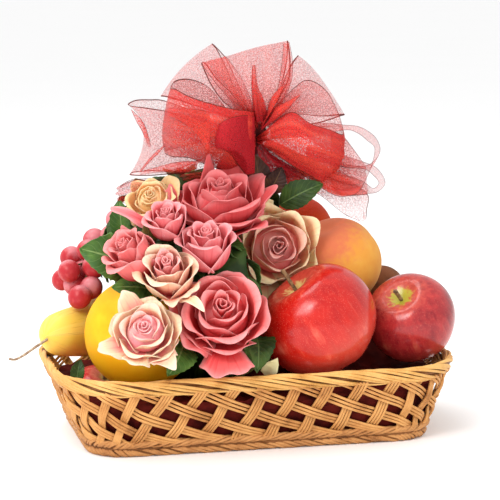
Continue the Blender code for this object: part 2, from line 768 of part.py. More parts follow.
def ribbon_strip(name, middles, sides, normals, halves, finish, cupped=True):
    """Thin closed strip, with three points across where it is cupped and two where it is flat."""
    bm = bmesh.new()
    shares = (-1, 0, 1) if cupped else (-1, 1)
    count = len(shares)
    rows = []
    for middle, side, normal, half in zip(middles, sides, normals, halves):
        row = []
        for offset in (RIBBON_THICKNESS / 2, -RIBBON_THICKNESS / 2):
            for across in shares:
                cup = normal * half * 0.16 * (1 - across * across)
                row.append(bm.verts.new(middle + side * half * across + cup + normal * offset))
        rows.append(row)
    for here, there in zip(rows, rows[1:]):
        for left in range(count - 1):
            under = left + count
            bm.faces.new((here[left], here[left + 1], there[left + 1], there[left]))
            bm.faces.new((here[under], there[under], there[under + 1], here[under + 1]))
        bm.faces.new((here[0], there[0], there[count], here[count]))
        bm.faces.new((here[count - 1], here[-1], there[-1], there[count - 1]))
    for row in (rows[0], rows[-1]):
        for left in range(count - 1):
            bm.faces.new((row[left], row[left + count], row[left + count + 1], row[left + 1]))
    return finish_object(name, bm, finish)


def ribbon_loop(design, finish):
    """Ribbon that leaves the knot, turns over at its reach and comes back."""
    out, across, through = loop_frame(design)
    spans = 6
    middles, sides, normals, halves = [], [], [], []
    start = 2 * math.asin(math.sqrt(0.75 * KNOT_RADIUS / design.reach))
    for station in range(spans + 1):
        phase = start + (math.tau - 2 * start) * station / spans
        swell = math.sin(phase / 2)
        forward = design.reach * swell ** 2
        apart = design.opening * 0.65 * math.sin(phase) * swell
        middles.append(KNOT + out * forward + through * apart)
        slope = Vector((math.sin(phase) / 2 * design.reach, design.opening * 0.65 * math.cos(phase)))
        tangent = (out * slope.x + through * slope.y).normalized()
        sides.append(across)
        normals.append(tangent.cross(across).normalized())
        halves.append(0.004 + (design.width / 2 - 0.004) * swell ** 1.3)
    return ribbon_strip("loop", middles, sides, normals, halves, finish, design.cupped)


def ribbon_tail(points, across, widths, finish):
    """Loose end of the ribbon through points."""
    middles = [Vector(point) for point in points]
    sides, normals = [], []
    for index in range(len(middles)):
        before, after = middles[max(index - 1, 0)], middles[min(index + 1, len(middles) - 1)]
        side, normal = ring_frame((after - before).normalized(), Vector(across))
        sides.append(side)
        normals.append(normal)
    return ribbon_strip("tail", middles, sides, normals, [width / 2 for width in widths], finish, False)


def ribbon_bow(finish):
    """Bow of one ribbon: loops, loose ends and gathered stalk, fused at the knot."""
    bm = bmesh.new()
    bmesh.ops.create_uvsphere(bm, u_segments=8, v_segments=6, radius=KNOT_RADIUS)
    bmesh.ops.translate(bm, verts=bm.verts, vec=KNOT)
    bow = finish_object("ribbon_bow", bm, finish)
    pieces = [ribbon_loop(design, finish) for design in LOOPS]
    low_tail = (KNOT, (0.050, 0.022, 0.203), (0.078, 0.024, 0.180), (0.096, 0.026, 0.164))
    pieces.append(ribbon_tail(low_tail, (0.6, 0.0, 0.8), (0.008, 0.026, 0.034, 0.030), finish))
    left_tail = (KNOT, (-0.030, 0.026, 0.225), (-0.064, 0.022, 0.211), (-0.098, 0.016, 0.191))
    pieces.append(ribbon_tail(left_tail, (0.2, -0.3, 0.9), (0.008, 0.030, 0.030, 0.022), finish))
    neck = KNOT + (CORE_CENTRE - KNOT).normalized() * KNOT_RADIUS
    stalk, socket = planted_stem(KNOT, neck, 0.0055, finish)
    fuse(bow, [*pieces, stalk])
    return bow, [socket]


def carve(item, centre, radius, fineness=3):
    """Cut a ball out of an object, and keep its main body."""
    outside = {2: 1.08, 3: 1.02}[fineness]
    bm = bmesh.new()
    bmesh.ops.create_icosphere(bm, subdivisions=fineness, radius=(radius + 2 * GAP) * outside)
    bmesh.ops.translate(bm, verts=bm.verts, vec=centre)
    cut_out(item, [finish_object("cutter", bm, item.data.materials[0], smooth=False)])


def near_ball(item, centre, radius):
    """Whether an object's box comes within a ball."""
    bpy.context.view_layer.update()
    corners = [Vector(corner) for corner in item.bound_box]
    low = [min(corner[axis] for corner in corners) for axis in range(3)]
    high = [max(corner[axis] for corner in corners) for axis in range(3)]
    nearest = Vector([min(max(centre[axis], low[axis]), high[axis]) for axis in range(3)])
    return (nearest - centre).length < radius


def part_from(item, point, away):
    """Cut off what an object has beyond a plane, and keep its main body."""
    away = away.normalized()
    bm = bmesh.new()
    bmesh.ops.create_cube(bm, size=0.4)
    bmesh.ops.translate(bm, verts=bm.verts, vec=(0, 0, 0.2))
    place(bm, point, away)
    cut_out(item, [finish_object("cutter", bm, item.data.materials[0], smooth=False)])


def part_neighbours(names):
    """Where two balls meet, give both pieces a flat contact with a small gap between."""
    for index, first in enumerate(names):
        for second in names[index + 1:]:
            (near, near_radius), (far, far_radius) = BALLS[first], BALLS[second]
            line = far - near
            distance = line.length
            if distance >= near_radius + far_radius + GAP:
                continue
            share = (distance ** 2 + near_radius ** 2 - far_radius ** 2) / (2 * distance)
            way = line.normalized()
            meeting = near + way * share
            part_from(bpy.data.objects[first], meeting - way * GAP / 2, way)
            part_from(bpy.data.objects[second], meeting + way * GAP / 2, -way)


def build():
    """Make every piece of the filled basket."""
    clear_scene()
    rattan = material("rattan", (0.60, 0.36, 0.14), 0.55)
    finishes = {
        "apple": material("apple_skin", (0.62, 0.04, 0.02), 0.28),
        "pear": material("pear_skin", (0.90, 0.62, 0.14), 0.45),
        "grape": material("grape_skin", (0.45, 0.05, 0.06), 0.35),
        "stalk": material("stalk", (0.22, 0.13, 0.05), 0.8),
        "leaf": material("leaf_green", (0.06, 0.16, 0.03), 0.6),
        "rose_deep": material("rose_deep", (0.72, 0.12, 0.15), 0.8),
        "rose_pink": material("rose_pink", (0.85, 0.25, 0.28), 0.8),
        "rose_cream": material("rose_cream", (0.90, 0.58, 0.42), 0.8),
    }
    mango_skin = material("mango_skin", (0.95, 0.62, 0.02), 0.4)
    peach_skin = material("peach_skin", (0.86, 0.40, 0.16), 0.85)
    orange_skin = material("orange_skin", (0.80, 0.22, 0.02), 0.5)
    kiwi_skin = material("kiwi_skin", (0.16, 0.08, 0.03), 0.95)
    cream = material("cream_paper", (0.85, 0.78, 0.55), 0.9)
    paper = material("maroon_paper", (0.16, 0.02, 0.02), 0.9)
    ribbon = material("sheer_ribbon", (0.80, 0.10, 0.08), 0.5)

    twisted_band("basket_foot", 0.0, FOOT_BAND_HEIGHT, 40, 5, 15, rattan)
    basket_lattice(rattan)
    twisted_band("basket_rim", BASKET_HEIGHT - RIM_BAND_HEIGHT, BASKET_HEIGHT, 56, 6, 24, rattan)
    basket_floor(rattan)

    apple("apple_front", (0.0450, -0.0480, 0.0895), (-0.42, -0.28, 0.86), 0.0444, finishes, (-0.1, -0.1, 0.0))
    apple("apple_right", (0.1235, -0.0300, 0.0850), (-0.12, -0.52, 0.84), 0.0340, finishes, (-0.2, 0.0, 0.0))
    apple("apple_small", (-0.1130, -0.0020, 0.0312), (0.2, -0.4, 0.9), 0.0235, finishes, (0.0, 0.1, 0.0), 11, 7, 0.006)
    round_fruit("mango", (-0.0865, -0.0300, 0.0830), (0.25, 0.90, -0.10), 0.0420, mango_shape, mango_skin, 16, 10)
    round_fruit("peach", (0.0785, 0.0200, 0.1225), (-0.35, -0.30, 0.88), 0.0355, peach_shape, peach_skin, 16, 9, 0.96)
    round_fruit("orange", (0.0600, 0.0740, 0.1390), (0.1, -0.2, 0.95), 0.0300, orange_shape, orange_skin, 11, 7)
    round_fruit("kiwi", (0.1225, 0.0430, 0.0945), (0.3, 0.9, 0.2), 0.0195, kiwi_shape, kiwi_skin, 10, 7, 1.15)
    pear(finishes)
    grapes(finishes)
    fruit = ["apple_front", "apple_right", "apple_small", "mango", "peach", "orange", "kiwi"]
    part_neighbours(fruit)
    for design in ROSES:
        rose(design, finishes)
    blooms = [design.name for design in ROSES]
    part_neighbours(blooms)
    filler_bed(paper)
    core = foliage_core(finishes["leaf"])
    bow, sockets = ribbon_bow(ribbon)
    for design in ROSES:
        stalk, socket = rose_stem(design, finishes["leaf"])
        fuse(bpy.data.objects[design.name], [stalk])
        sockets.append(socket)
    cut_out(core, sockets)
    leaves = []
    for item in LEAVES:
        green = cream if item.name == "paper_corner" else finishes["leaf"]
        leaves.append(leaf(item.name, item.base, item.tip, item.face, item.width, green))
    leaves.extend(back_leaf(index, finishes["leaf"]) for index in range(len(BACK_LEAVES)))
    for name, (centre, radius) in BALLS.items():
        loose = [bow, *leaves]
        if name in fruit:
            loose.extend(bpy.data.objects[bloom] for bloom in blooms)
        for item in loose:
            if near_ball(item, centre, radius):
                carve(item, centre, radius, fineness=2)
    for item in bpy.data.objects:
        triangulate(item)


build()
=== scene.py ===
"""Looks of the fruit gift basket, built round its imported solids.

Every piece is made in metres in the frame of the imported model: +Z up, the front towards -Y and the
origin in the middle of the basket's underside. Each piece stands where the solid that it replaces is.
"""

import logging
import math
import random
from dataclasses import dataclass, field
from enum import Enum
from typing import Callable, Sequence

import bpy
from mathutils import Matrix, Vector, noise

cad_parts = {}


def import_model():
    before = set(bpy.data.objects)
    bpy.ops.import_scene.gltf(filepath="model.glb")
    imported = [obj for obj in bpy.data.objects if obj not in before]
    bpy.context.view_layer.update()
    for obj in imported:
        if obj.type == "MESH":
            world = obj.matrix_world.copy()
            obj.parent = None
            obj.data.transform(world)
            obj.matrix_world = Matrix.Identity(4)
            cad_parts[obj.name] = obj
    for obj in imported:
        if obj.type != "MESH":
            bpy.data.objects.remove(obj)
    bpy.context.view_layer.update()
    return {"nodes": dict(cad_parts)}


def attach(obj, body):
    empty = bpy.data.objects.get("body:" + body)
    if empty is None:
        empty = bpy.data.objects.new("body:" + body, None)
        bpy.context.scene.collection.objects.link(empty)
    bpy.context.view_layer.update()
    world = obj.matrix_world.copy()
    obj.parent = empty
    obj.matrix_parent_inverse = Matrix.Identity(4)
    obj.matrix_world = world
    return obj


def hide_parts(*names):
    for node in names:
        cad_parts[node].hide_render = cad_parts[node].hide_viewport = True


LOG = logging.getLogger("fruit_basket")
Piece = bpy.types.Object
Material = bpy.types.Material
Socket = bpy.types.NodeSocket
Place = tuple[float, float, float]
# Red, green and blue as they show in this studio's light, from 0 to 255, or above for what is paler yet.
Colour = tuple[float, float, float]

ROOT = "root"
FULL_TURN = math.tau
DOWN = Vector((0.0, 0.0, -1.0))
# How much more light than a plain white surface gives back falls on the basket's front.
LIGHT_ON_FRONT = 1.2
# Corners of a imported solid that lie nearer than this, in metres, are one corner.
MERGE_REACH = 0.00001


def surface_colour(colour: Colour) -> tuple[float, ...]:
    """Opaque surface colour, red, green, blue and alpha, that shows as the given one."""
    shown = (((value / 255.0 + 0.055) / 1.055) ** 2.4 for value in colour)
    return (*(value / LIGHT_ON_FRONT for value in shown), 1.0)


# Modelling helpers


def deselect() -> None:
    """Leave nothing selected, so that the next operator acts on its own piece alone."""
    bpy.ops.object.select_all(action="DESELECT")


def pick(piece: Piece) -> None:
    """Select one piece alone and make it the active one.

    Args:
        piece: The piece.
    """
    deselect()
    piece.select_set(True)
    bpy.context.view_layer.objects.active = piece


def blend(share: float, low: float, high: float) -> float:
    """Value between two limits at a share from 0 to 1."""
    return low + (high - low) * share


def ease(value: float, start: float, end: float) -> float:
    """Smooth step from 0 at start to 1 at end."""
    share = min(1.0, max(0.0, (value - start) / (end - start)))
    return share * share * (3.0 - 2.0 * share)


def ball(segments: int, rings: int) -> Piece:
    """Add a sphere of radius 1 about the origin.

    Args:
        segments: Faces round it.
        rings: Faces from pole to pole.

    Returns:
        The sphere.
    """
    deselect()
    bpy.ops.mesh.primitive_uv_sphere_add(segments=segments, ring_count=rings, radius=1.0)
    return bpy.context.object


def grid(across: int, along: int) -> Piece:
    """Add a flat grid from -1 to 1 both ways, with a UV map that runs from 0 to 1.

    Args:
        across: Faces along X.
        along: Faces along Y.

    Returns:
        The grid.
    """
    deselect()
    bpy.ops.mesh.primitive_grid_add(x_subdivisions=across, y_subdivisions=along, size=2.0)
    return bpy.context.object


def shape(piece: Piece, rule: Callable[[Vector], Vector]) -> None:
    """Move every vertex to where the rule puts it.

    Args:
        piece: Mesh object that stands at the origin.
        rule: Gives the new place of a vertex from its old one.
    """
    for vertex in piece.data.vertices:
        vertex.co = rule(vertex.co.copy())
    piece.data.update()


def work(piece: Piece, kind: str, **settings: object) -> None:
    """Add a modifier to a piece and apply it.

    Args:
        piece: The piece to change.
        kind: Blender's name of the modifier type.
        **settings: The modifier's own settings.
    """
    pick(piece)
    modifier = piece.modifiers.new("work", kind)
    for key, value in settings.items():
        setattr(modifier, key, value)
    bpy.ops.object.modifier_apply(modifier=modifier.name)


def join(name: str, pieces: Sequence[Piece]) -> Piece:
    """Join pieces into one object.

    Args:
        name: Name of the joined piece.
        pieces: At least one mesh object.

    Returns:
        The joined object.
    """
    deselect()
    for piece in pieces:
        piece.select_set(True)
    bpy.context.view_layer.objects.active = pieces[0]
    if len(pieces) > 1:
        bpy.ops.object.join()
    pieces[0].name = name
    pieces[0].data.name = name
    return pieces[0]


def copy_of(piece: Piece) -> Piece:
    """Copy a piece with a mesh of its own.

    Args:
        piece: The piece, which stays as it is.

    Returns:
        The copy.
    """
    twin = piece.copy()
    twin.data = piece.data.copy()
    bpy.context.scene.collection.objects.link(twin)
    return twin


def finer_copy(solid: Piece, cuts: int) -> Piece:
    """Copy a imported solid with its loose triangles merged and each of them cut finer.

    Args:
        solid: The solid, which stays as it is.
        cuts: Cuts along each edge.

    Returns:
        The copy, free of its parent.
    """
    piece = copy_of(solid)
    piece.parent = None
    pick(piece)
    bpy.ops.object.mode_set(mode="EDIT")
    bpy.ops.mesh.select_all(action="SELECT")
    bpy.ops.mesh.remove_doubles(threshold=MERGE_REACH)
    bpy.ops.mesh.subdivide(number_cuts=cuts)
    bpy.ops.object.mode_set(mode="OBJECT")
    piece.hide_render = False
    return piece


def smooth(piece: Piece, degrees: float | None = None) -> None:
    """Shade a piece smooth.

    Args:
        piece: The piece.
        degrees: Angle from which an edge stays sharp, where some do.
    """
    pick(piece)
    if degrees is None:
        bpy.ops.object.shade_smooth()
    else:
        bpy.ops.object.shade_smooth_by_angle(angle=math.radians(degrees))


def dress(piece: Piece, material: Material) -> None:
    """Give a piece one material."""
    piece.data.materials.clear()
    piece.data.materials.append(material)


def mark(piece: Piece, name: str, value: float) -> None:
    """Store one number on every vertex of a piece, for its material to read."""
    layer = piece.data.attributes.new(name, "FLOAT", "POINT")
    layer.data.foreach_set("value", [value] * len(piece.data.vertices))


def mark_growth(piece: Piece, ways: Sequence[Vector]) -> None:
    """Store on every vertex the way in which the fruit grew there, for its skin's pattern to follow.

    Args:
        piece: The fruit.
        ways: One direction for each vertex.
    """
    layer = piece.data.attributes.new("grown", "FLOAT_VECTOR", "POINT")
    for item, way in zip(layer.data, ways):
        item.vector = way


@dataclass(frozen=True)
class Spot:
    """One point of a strand, and its share of the strand's thickness."""

    place: Vector
    thickness: float = 1.0


def strands(
    paths: Sequence[Sequence[Spot]], radius: float, closed: bool = False, detail: int = 1
) -> Piece:
    """Make round strands through points, as one mesh.

    Args:
        paths: The points of each strand.
        radius: Radius of a strand in metres.
        closed: Whether each strand closes on itself.
        detail: Bevel resolution of the curve that becomes the mesh.

    Returns:
        The mesh object.
    """
    deselect()
    bpy.ops.curve.primitive_nurbs_path_add()
    piece = bpy.context.object
    curve = piece.data
    curve.splines.clear()
    for path in paths:
        spline = curve.splines.new("POLY")
        spline.points.add(len(path) - 1)
        for point, spot in zip(spline.points, path):
            point.co = (*spot.place, 1.0)
            point.radius = spot.thickness
        spline.use_cyclic_u = closed
    curve.bevel_depth = radius
    curve.bevel_resolution = detail
    curve.use_fill_caps = True
    bpy.ops.object.convert(target="MESH")
    piece = bpy.context.object
    smooth(piece, 60.0)
    return piece


def along_points(points: Sequence[Vector], share: float) -> Vector:
    """Point of a smooth line through the given points.

    Args:
        points: Two or more points.
        share: 0 at the first point, 1 at the last.

    Returns:
        The point.
    """
    spans = len(points) - 1
    run = min(max(share, 0.0), 1.0) * spans
    index = min(int(run), spans - 1)
    part = run - index
    before = points[max(index - 1, 0)]
    here, there = points[index], points[index + 1]
    after = points[min(index + 2, spans)]
    return 0.5 * (
        2.0 * here
        + (there - before) * part
        + (2.0 * before - 5.0 * here + 4.0 * there - after) * part**2
        + (3.0 * here - before - 3.0 * there + after) * part**3
    )


def stalk(route: Sequence[Sequence[float]], start: float, end: float, steps: int = 14) -> Piece:
    """Woody stalk along a route.

    Args:
        route: Points in metres.
        start: Radius at the first point.
        end: Radius at the last point.
        steps: Points along it.

    Returns:
        The mesh object.
    """
    points = [Vector(place) for place in route]
    path = []
    for step in range(steps + 1):
        share = step / steps
        knobbly = 1.0 + 0.08 * math.sin(step * 2.1)
        path.append(Spot(along_points(points, share), blend(share, start, end) / start * knobbly))
    return strands([path], start, detail=2)


def turned(centre: Sequence[float], axis: Sequence[float]) -> Matrix:
    """Matrix that stands a piece made along +Z at its centre, along its axis.

    Args:
        centre: Where the piece's middle goes.
        axis: Where its +Z goes.

    Returns:
        The matrix.
    """
    tilt = Vector((0, 0, 1)).rotation_difference(Vector(axis).normalized()).to_matrix().to_4x4()
    return Matrix.Translation(Vector(centre)) @ tilt


# Materials


class Tree:
    """Node tree of one finish, with short calls for the nodes that the finishes share."""

    def __init__(self, name: str, roughness: float, **sockets: float | Colour) -> None:
        """Start a Principled material.

        Args:
            name: Name of the material.
            roughness: Roughness of the surface.
            **sockets: Other sockets of the shader, with _ for a space.
        """
        self.material = bpy.data.materials.new(name)
        self.material.use_nodes = True
        self.nodes = self.material.node_tree.nodes
        self.links = self.material.node_tree.links
        self.shader = self.nodes["Principled BSDF"]
        self.shader.inputs["Roughness"].default_value = roughness
        for socket, value in sockets.items():
            self.shader.inputs[socket.replace("_", " ")].default_value = value

    def node(self, kind: str, output: int | str, inputs: dict[int | str, object],
             **settings: object) -> Socket:
        """Add a node.

        Args:
            kind: Its type, without the words that all shader nodes share.
            output: Name or number of the output to give back.
            inputs: The socket to link or the value to set for each input, by name or number.
            **settings: The node's own settings.

        Returns:
            The output's socket.
        """
        node = self.nodes.new(f"ShaderNode{kind}")
        for key, value in settings.items():
            setattr(node, key, value)
        for key, value in inputs.items():
            if isinstance(value, Socket):
                self.links.new(value, node.inputs[key])
            else:
                node.inputs[key].default_value = value
        return node.outputs[output]

    def place(self) -> Socket:
        """Object coordinates."""
        return self.node("TexCoord", "Object", {})

    def cloth(self) -> tuple[Socket, Socket, Socket]:
        """Read the piece's own UV map.

        Returns:
            Across, along, and the distance from the middle line.
        """
        place = self.node("TexCoord", "UV", {})
        across, along = (self.node("SeparateXYZ", axis, {0: place}) for axis in "XY")
        return across, along, self.calc("ABSOLUTE", self.calc("SUBTRACT", across, 0.5))

    def stored(self, name: str, kind: str = "Fac") -> Socket:
        """Value that the mesh stores under a name."""
        return self.node("Attribute", kind, {}, attribute_name=name)

    def stretch(self, vector: Socket, scale: Place) -> Socket:
        """Coordinates scaled by a different amount each way."""
        return self.node("Mapping", "Vector", {"Vector": vector, "Scale": scale})

    def combine(self, *values: float | Socket) -> Socket:
        """Vector of three values."""
        return self.node("CombineXYZ", 0, dict(enumerate(values)))

    def noise(self, scale: float, detail: float, vector: Socket | None = None) -> Socket:
        """Noise from 0 to 1, on Object coordinates unless others are given."""
        inputs = {"Vector": vector or self.place(), "Scale": scale, "Detail": detail}
        return self.node("TexNoise", "Fac", inputs)

    def cells(self, scale: float, vector: Socket | None = None) -> Socket:
        """Distance to the nearest of scattered points, on the same coordinates as noise."""
        return self.node("TexVoronoi", "Distance", {"Vector": vector or self.place(), "Scale": scale})

    def ramp(self, factor: Socket, *stops: tuple[float, Colour]) -> Socket:
        """Colour that runs through stops.

        Args:
            factor: Socket that picks the place between the stops.
            *stops: Position from 0 to 1 and colour, in order.

        Returns:
            The colour's socket.
        """
        node = self.nodes.new("ShaderNodeValToRGB")
        band = node.color_ramp
        while len(band.elements) < len(stops):
            band.elements.new(0.5)
        for element, (position, colour) in zip(band.elements, stops):
            element.position = position
            element.color = surface_colour(colour)
        self.links.new(factor, node.inputs["Fac"])
        return node.outputs["Color"]

    def measure(self, kind: str, vector: Socket, other: Sequence[float]) -> Socket:
        """Dot product or distance of a vector and a fixed one."""
        return self.node("VectorMath", "Value", {0: vector, 1: other}, operation=kind)

    def step(self, value: Socket, start: float, end: float, most: float = 1.0) -> Socket:
        """Smooth step between two values.

        Args:
            value: The socket that it reads.
            start: Value at which the result is 0.
            end: Value, above or below start, from which the result is at its most.
            most: The highest result.

        Returns:
            The result's socket.
        """
        inputs = {"Value": value}
        low, high = ((start, 0.0), (end, most)) if start < end else ((end, most), (start, 0.0))
        inputs["From Min"], inputs["To Min"] = low
        inputs["From Max"], inputs["To Max"] = high
        return self.node("MapRange", "Result", inputs, interpolation_type="SMOOTHSTEP")

    def calc(self, operation: str, *values: float | Socket) -> Socket:
        """One Math node."""
        return self.node("Math", 0, dict(enumerate(values)), operation=operation)

    def mix(self, factor: Socket, first: Socket | Colour, second: Socket | Colour) -> Socket:
        """Mix of two colours, each a socket or a colour."""
        pair = [each if isinstance(each, Socket) else surface_colour(each) for each in (first, second)]
        return self.node("Mix", 2, {0: factor, 6: pair[0], 7: pair[1]}, data_type="RGBA")

    def colour(self, value: Socket) -> None:
        """Use a socket as the surface's colour."""
        self.links.new(value, self.shader.inputs["Base Color"])

    def bump(self, height: Socket, strength: float, depth: float) -> None:
        """Raise the surface by a height pattern, depth in metres."""
        inputs = {"Height": height, "Strength": strength, "Distance": depth}
        self.links.new(self.node("Bump", "Normal", inputs), self.shader.inputs["Normal"])


@dataclass(frozen=True)
class RattanFinish:
    """Peeled rattan strand: honey tan, with darker stretches and fine fibres."""

    name: str = "rattan_strand"
    light: Colour = (242, 190, 114)
    middle: Colour = (222, 164, 88)
    dark: Colour = (156, 98, 46)

    def make(self) -> Material:
        """Build the material.

        Returns:
            The material.
        """
        tree = Tree(self.name, 0.5, Specular_IOR_Level=0.2)
        broad = tree.noise(55.0, 3.0)
        fine = tree.noise(900.0, 2.0)
        tone = tree.calc("MULTIPLY_ADD", fine, 0.25, tree.calc("MULTIPLY", broad, 0.85))
        tree.colour(tree.ramp(tone, (0.30, self.dark), (0.46, self.middle), (0.66, self.light)))
        tree.bump(fine, 0.35, 0.0003)
        return tree.material


@dataclass(frozen=True)
class PaperFinish:
    """Crumpled thin paper."""

    name: str
    light: Colour
    dark: Colour

    def make(self) -> Material:
        """Build the material.

        Returns:
            The material.
        """
        tree = Tree(self.name, 0.85, Specular_IOR_Level=0.05)
        creases = tree.cells(90.0)
        tree.colour(tree.ramp(tree.noise(60.0, 4.0), (0.35, self.dark), (0.65, self.light)))
        tree.bump(creases, 0.8, 0.002)
        return tree.material


STEM_END = (0.0, 0.0, 1.0)


@dataclass(frozen=True)
class AppleFinish:
    """Waxy apple skin: red streaks over a paler ground, speckles, and a green-yellow stem hollow in a broad
    paler ring that is partly painted highlight.
    """

    name: str
    ground: Colour
    red: Colour
    deep: Colour
    green: Colour
    hollow: float = 0.49
    speckle: Colour = (244, 150, 128)

    def make(self) -> Material:
        """Build the material.

        Returns:
            The material.
        """
        tree = Tree(self.name, 0.2, Specular_IOR_Level=0.42)
        grown = tree.stored("grown", "Vector")
        streaks = tree.noise(1.0, 5.0, tree.stretch(grown, (9.0, 9.0, 1.3)))
        clouds = tree.noise(1.6, 3.0, grown)
        fine = tree.noise(1.0, 3.0, tree.stretch(grown, (34.0, 34.0, 3.0)))
        blush = tree.calc("ADD", tree.calc("MULTIPLY", streaks, 0.45), tree.calc("MULTIPLY", clouds, 0.55))
        body = tree.ramp(blush, (0.29, self.ground), (0.41, self.red), (0.64, self.deep))
        body = tree.mix(tree.step(fine, 0.54, 0.74, 0.20), body, self.ground)
        from_stem = tree.measure("DISTANCE", grown, STEM_END)
        ragged = tree.calc("MULTIPLY_ADD", streaks, 0.50, from_stem)
        # Paler ground in a broad ring round the stem hollow: partly the skin's own paler shoulder, partly a
        # painted highlight on the shoulder.
        body = tree.mix(tree.step(ragged, self.hollow + 0.50, self.hollow, 0.55), body, self.ground)
        body = tree.mix(tree.step(ragged, self.hollow + 0.07, self.hollow - 0.07), body, self.green)
        tail = tree.step(tree.measure("DOT_PRODUCT", grown, STEM_END), 0.10, -0.70, 0.70)
        body = tree.mix(tree.calc("MULTIPLY", tail, streaks), body, self.ground)
        body = tree.mix(tree.step(tree.cells(44.0, grown), 0.24, 0.08, 0.50), body, self.speckle)
        tree.colour(body)
        tree.bump(tree.noise(26.0, 3.0, grown), 0.05, 0.001)
        return tree.material


@dataclass(frozen=True)
class SkinFinish:
    """Skin of a plain fruit: two colours that meet in a soft blush, with fine relief. Where the blush faces
    down, as on the mango and the pear, it is painted light that lifts the shaded underside.
    """

    name: str
    body: Colour
    # Colour towards one side: the fruit's own blush, and painted light on the shaded underside where that
    # side faces down.
    blush: Colour
    shade: Colour
    roughness: float
    blush_and_painted_light_way: Place = STEM_END
    blush_and_painted_light_from: float = 0.2
    blush_and_painted_light_to: float = 0.9
    pits: float = 0.0
    pit_scale: float = 60.0
    speckle: Colour | None = None
    sheen: float = 0.0
    mottle: float = 0.0
    flesh: float = 0.0

    def make(self) -> Material:
        """Build the material.

        Returns:
            The material.
        """
        tree = Tree(self.name, self.roughness, Specular_IOR_Level=0.2, Sheen_Weight=self.sheen,
                    Sheen_Roughness=0.6, Subsurface_Weight=self.flesh, Subsurface_Radius=(1.0, 0.6, 0.15),
                    Subsurface_Scale=0.02)
        grown = tree.stored("grown", "Vector")
        facing = tree.measure("DOT_PRODUCT", grown, Vector(self.blush_and_painted_light_way).normalized())
        patches = tree.noise(2.4, 4.0, grown)
        spread = tree.calc("MULTIPLY_ADD", patches, 0.7, tree.calc("SUBTRACT", facing, 0.35))
        if self.mottle:
            spread = tree.calc("MULTIPLY_ADD", tree.noise(9.0, 6.0, grown), self.mottle, spread)
        body = tree.mix(tree.step(patches, 0.42, 0.75), self.body, self.shade)
        # Blush towards one side: the peach's own blush, painted light on the shaded underside of the mango
        # and the pear.
        body = tree.mix(tree.step(spread, self.blush_and_painted_light_from, self.blush_and_painted_light_to), body, self.blush)
        if self.speckle:
            specks = tree.step(tree.cells(34.0, grown), 0.22, 0.10)
            body = tree.mix(tree.calc("MULTIPLY", specks, tree.step(patches, 0.34, 0.50)), body, self.speckle)
        tree.colour(body)
        if self.pits:
            tree.bump(tree.cells(self.pit_scale, grown), 0.5, self.pits)
        else:
            tree.bump(tree.noise(20.0, 2.0, grown), 0.06, 0.001)
        return tree.material


@dataclass(frozen=True)
class StalkFinish:
    """Dry woody stalk."""

    name: str = "woody_stalk"
    light: Colour = (158, 124, 84)
    dark: Colour = (84, 60, 38)

    def make(self) -> Material:
        """Build the material.

        Returns:
            The material.
        """
        tree = Tree(self.name, 0.7)
        grain = tree.noise(420.0, 3.0)
        tree.colour(tree.ramp(grain, (0.38, self.dark), (0.62, self.light)))
        tree.bump(grain, 0.6, 0.0006)
        return tree.material


@dataclass(frozen=True)
class PetalFinish:
    """Silk petal: deep at its foot and in the bloom's heart, paler towards a light edge, another tone from
    heart to outside. The deep foot and heart are painted shade over the silk's own deeper base, and the pale
    edge is partly painted highlight.
    """

    name: str
    deep: Colour
    inner: Colour
    outer: Colour
    edge: Colour
    flush: Colour
    heart_edge: Colour | None = None
    outer_from: float = 0.52

    def make(self) -> Material:
        """Build the material.

        Returns:
            The material.
        """
        tree = Tree(self.name, 0.75, Specular_IOR_Level=0.1, Subsurface_Weight=0.2, Subsurface_Scale=0.003,
                    Subsurface_Radius=(1.0, 0.40, 0.36))
        across, along, side = tree.cloth()
        ring = tree.stored("ring")
        veins = tree.noise(1.0, 3.0, tree.combine(tree.calc("MULTIPLY", across, 16.0), along, ring))
        clouds = tree.noise(38.0, 2.0)
        body = tree.mix(tree.step(ring, self.outer_from, self.outer_from + 0.43), self.inner, self.outer)
        cloudy = tree.step(clouds, 0.46, 0.70, 0.40)
        body = tree.mix(tree.calc("MULTIPLY_ADD", tree.stored("tone"), 0.45, cloudy), body, self.flush)
        body = tree.mix(tree.step(veins, 0.48, 0.66, 0.38), body, self.deep)
        # Darker towards the petal's foot: the silk's deeper base, strengthened as painted shade where the
        # foot sits down in the bloom.
        body = tree.mix(tree.step(along, 0.72, 0.20, 0.85), body, self.deep)
        # Darker in the heart: painted shade in the bloom's middle.
        body = tree.mix(tree.step(ring, 0.30, 0.05, 0.35), body, self.deep)
        # Paler lips and sides: the silk's lighter edge, strengthened as painted highlight where the lips
        # catch the light.
        rim = tree.calc("MAXIMUM", tree.step(along, 0.66, 0.98, 0.52), tree.step(side, 0.38, 0.50, 0.52))
        lip = tree.mix(tree.step(ring, 0.45, 0.90), self.heart_edge or self.edge, self.edge)
        tree.colour(tree.mix(rim, body, lip))
        silk = tree.noise(520.0, 2.0)
        tree.bump(tree.calc("MULTIPLY_ADD", silk, 0.35, veins), 0.6, 0.0008)
        return tree.material


@dataclass(frozen=True)
class LeafFinish:
    """Cloth leaf with a pale midrib and side veins."""

    name: str
    body: Colour
    dark: Colour
    vein: Colour

    def make(self) -> Material:
        """Build the material.

        Returns:
            The material.
        """
        tree = Tree(self.name, 0.5, Specular_IOR_Level=0.25)
        _, along, side = tree.cloth()
        slant = tree.calc("SUBTRACT", along, tree.calc("MULTIPLY", side, 0.55))
        wave = tree.calc("ABSOLUTE", tree.calc("SINE", tree.calc("MULTIPLY", slant, 26.0)))
        veins = tree.step(wave, 0.16, 0.02, 0.45)
        rib = tree.step(side, 0.035, 0.012)
        body = tree.mix(tree.step(tree.noise(70.0, 3.0), 0.36, 0.66), self.dark, self.body)
        body = tree.mix(tree.calc("MAXIMUM", veins, rib), body, self.vein)
        tree.colour(body)
        tree.bump(tree.calc("SUBTRACT", wave, rib), 0.35, 0.0008)
        return tree.material


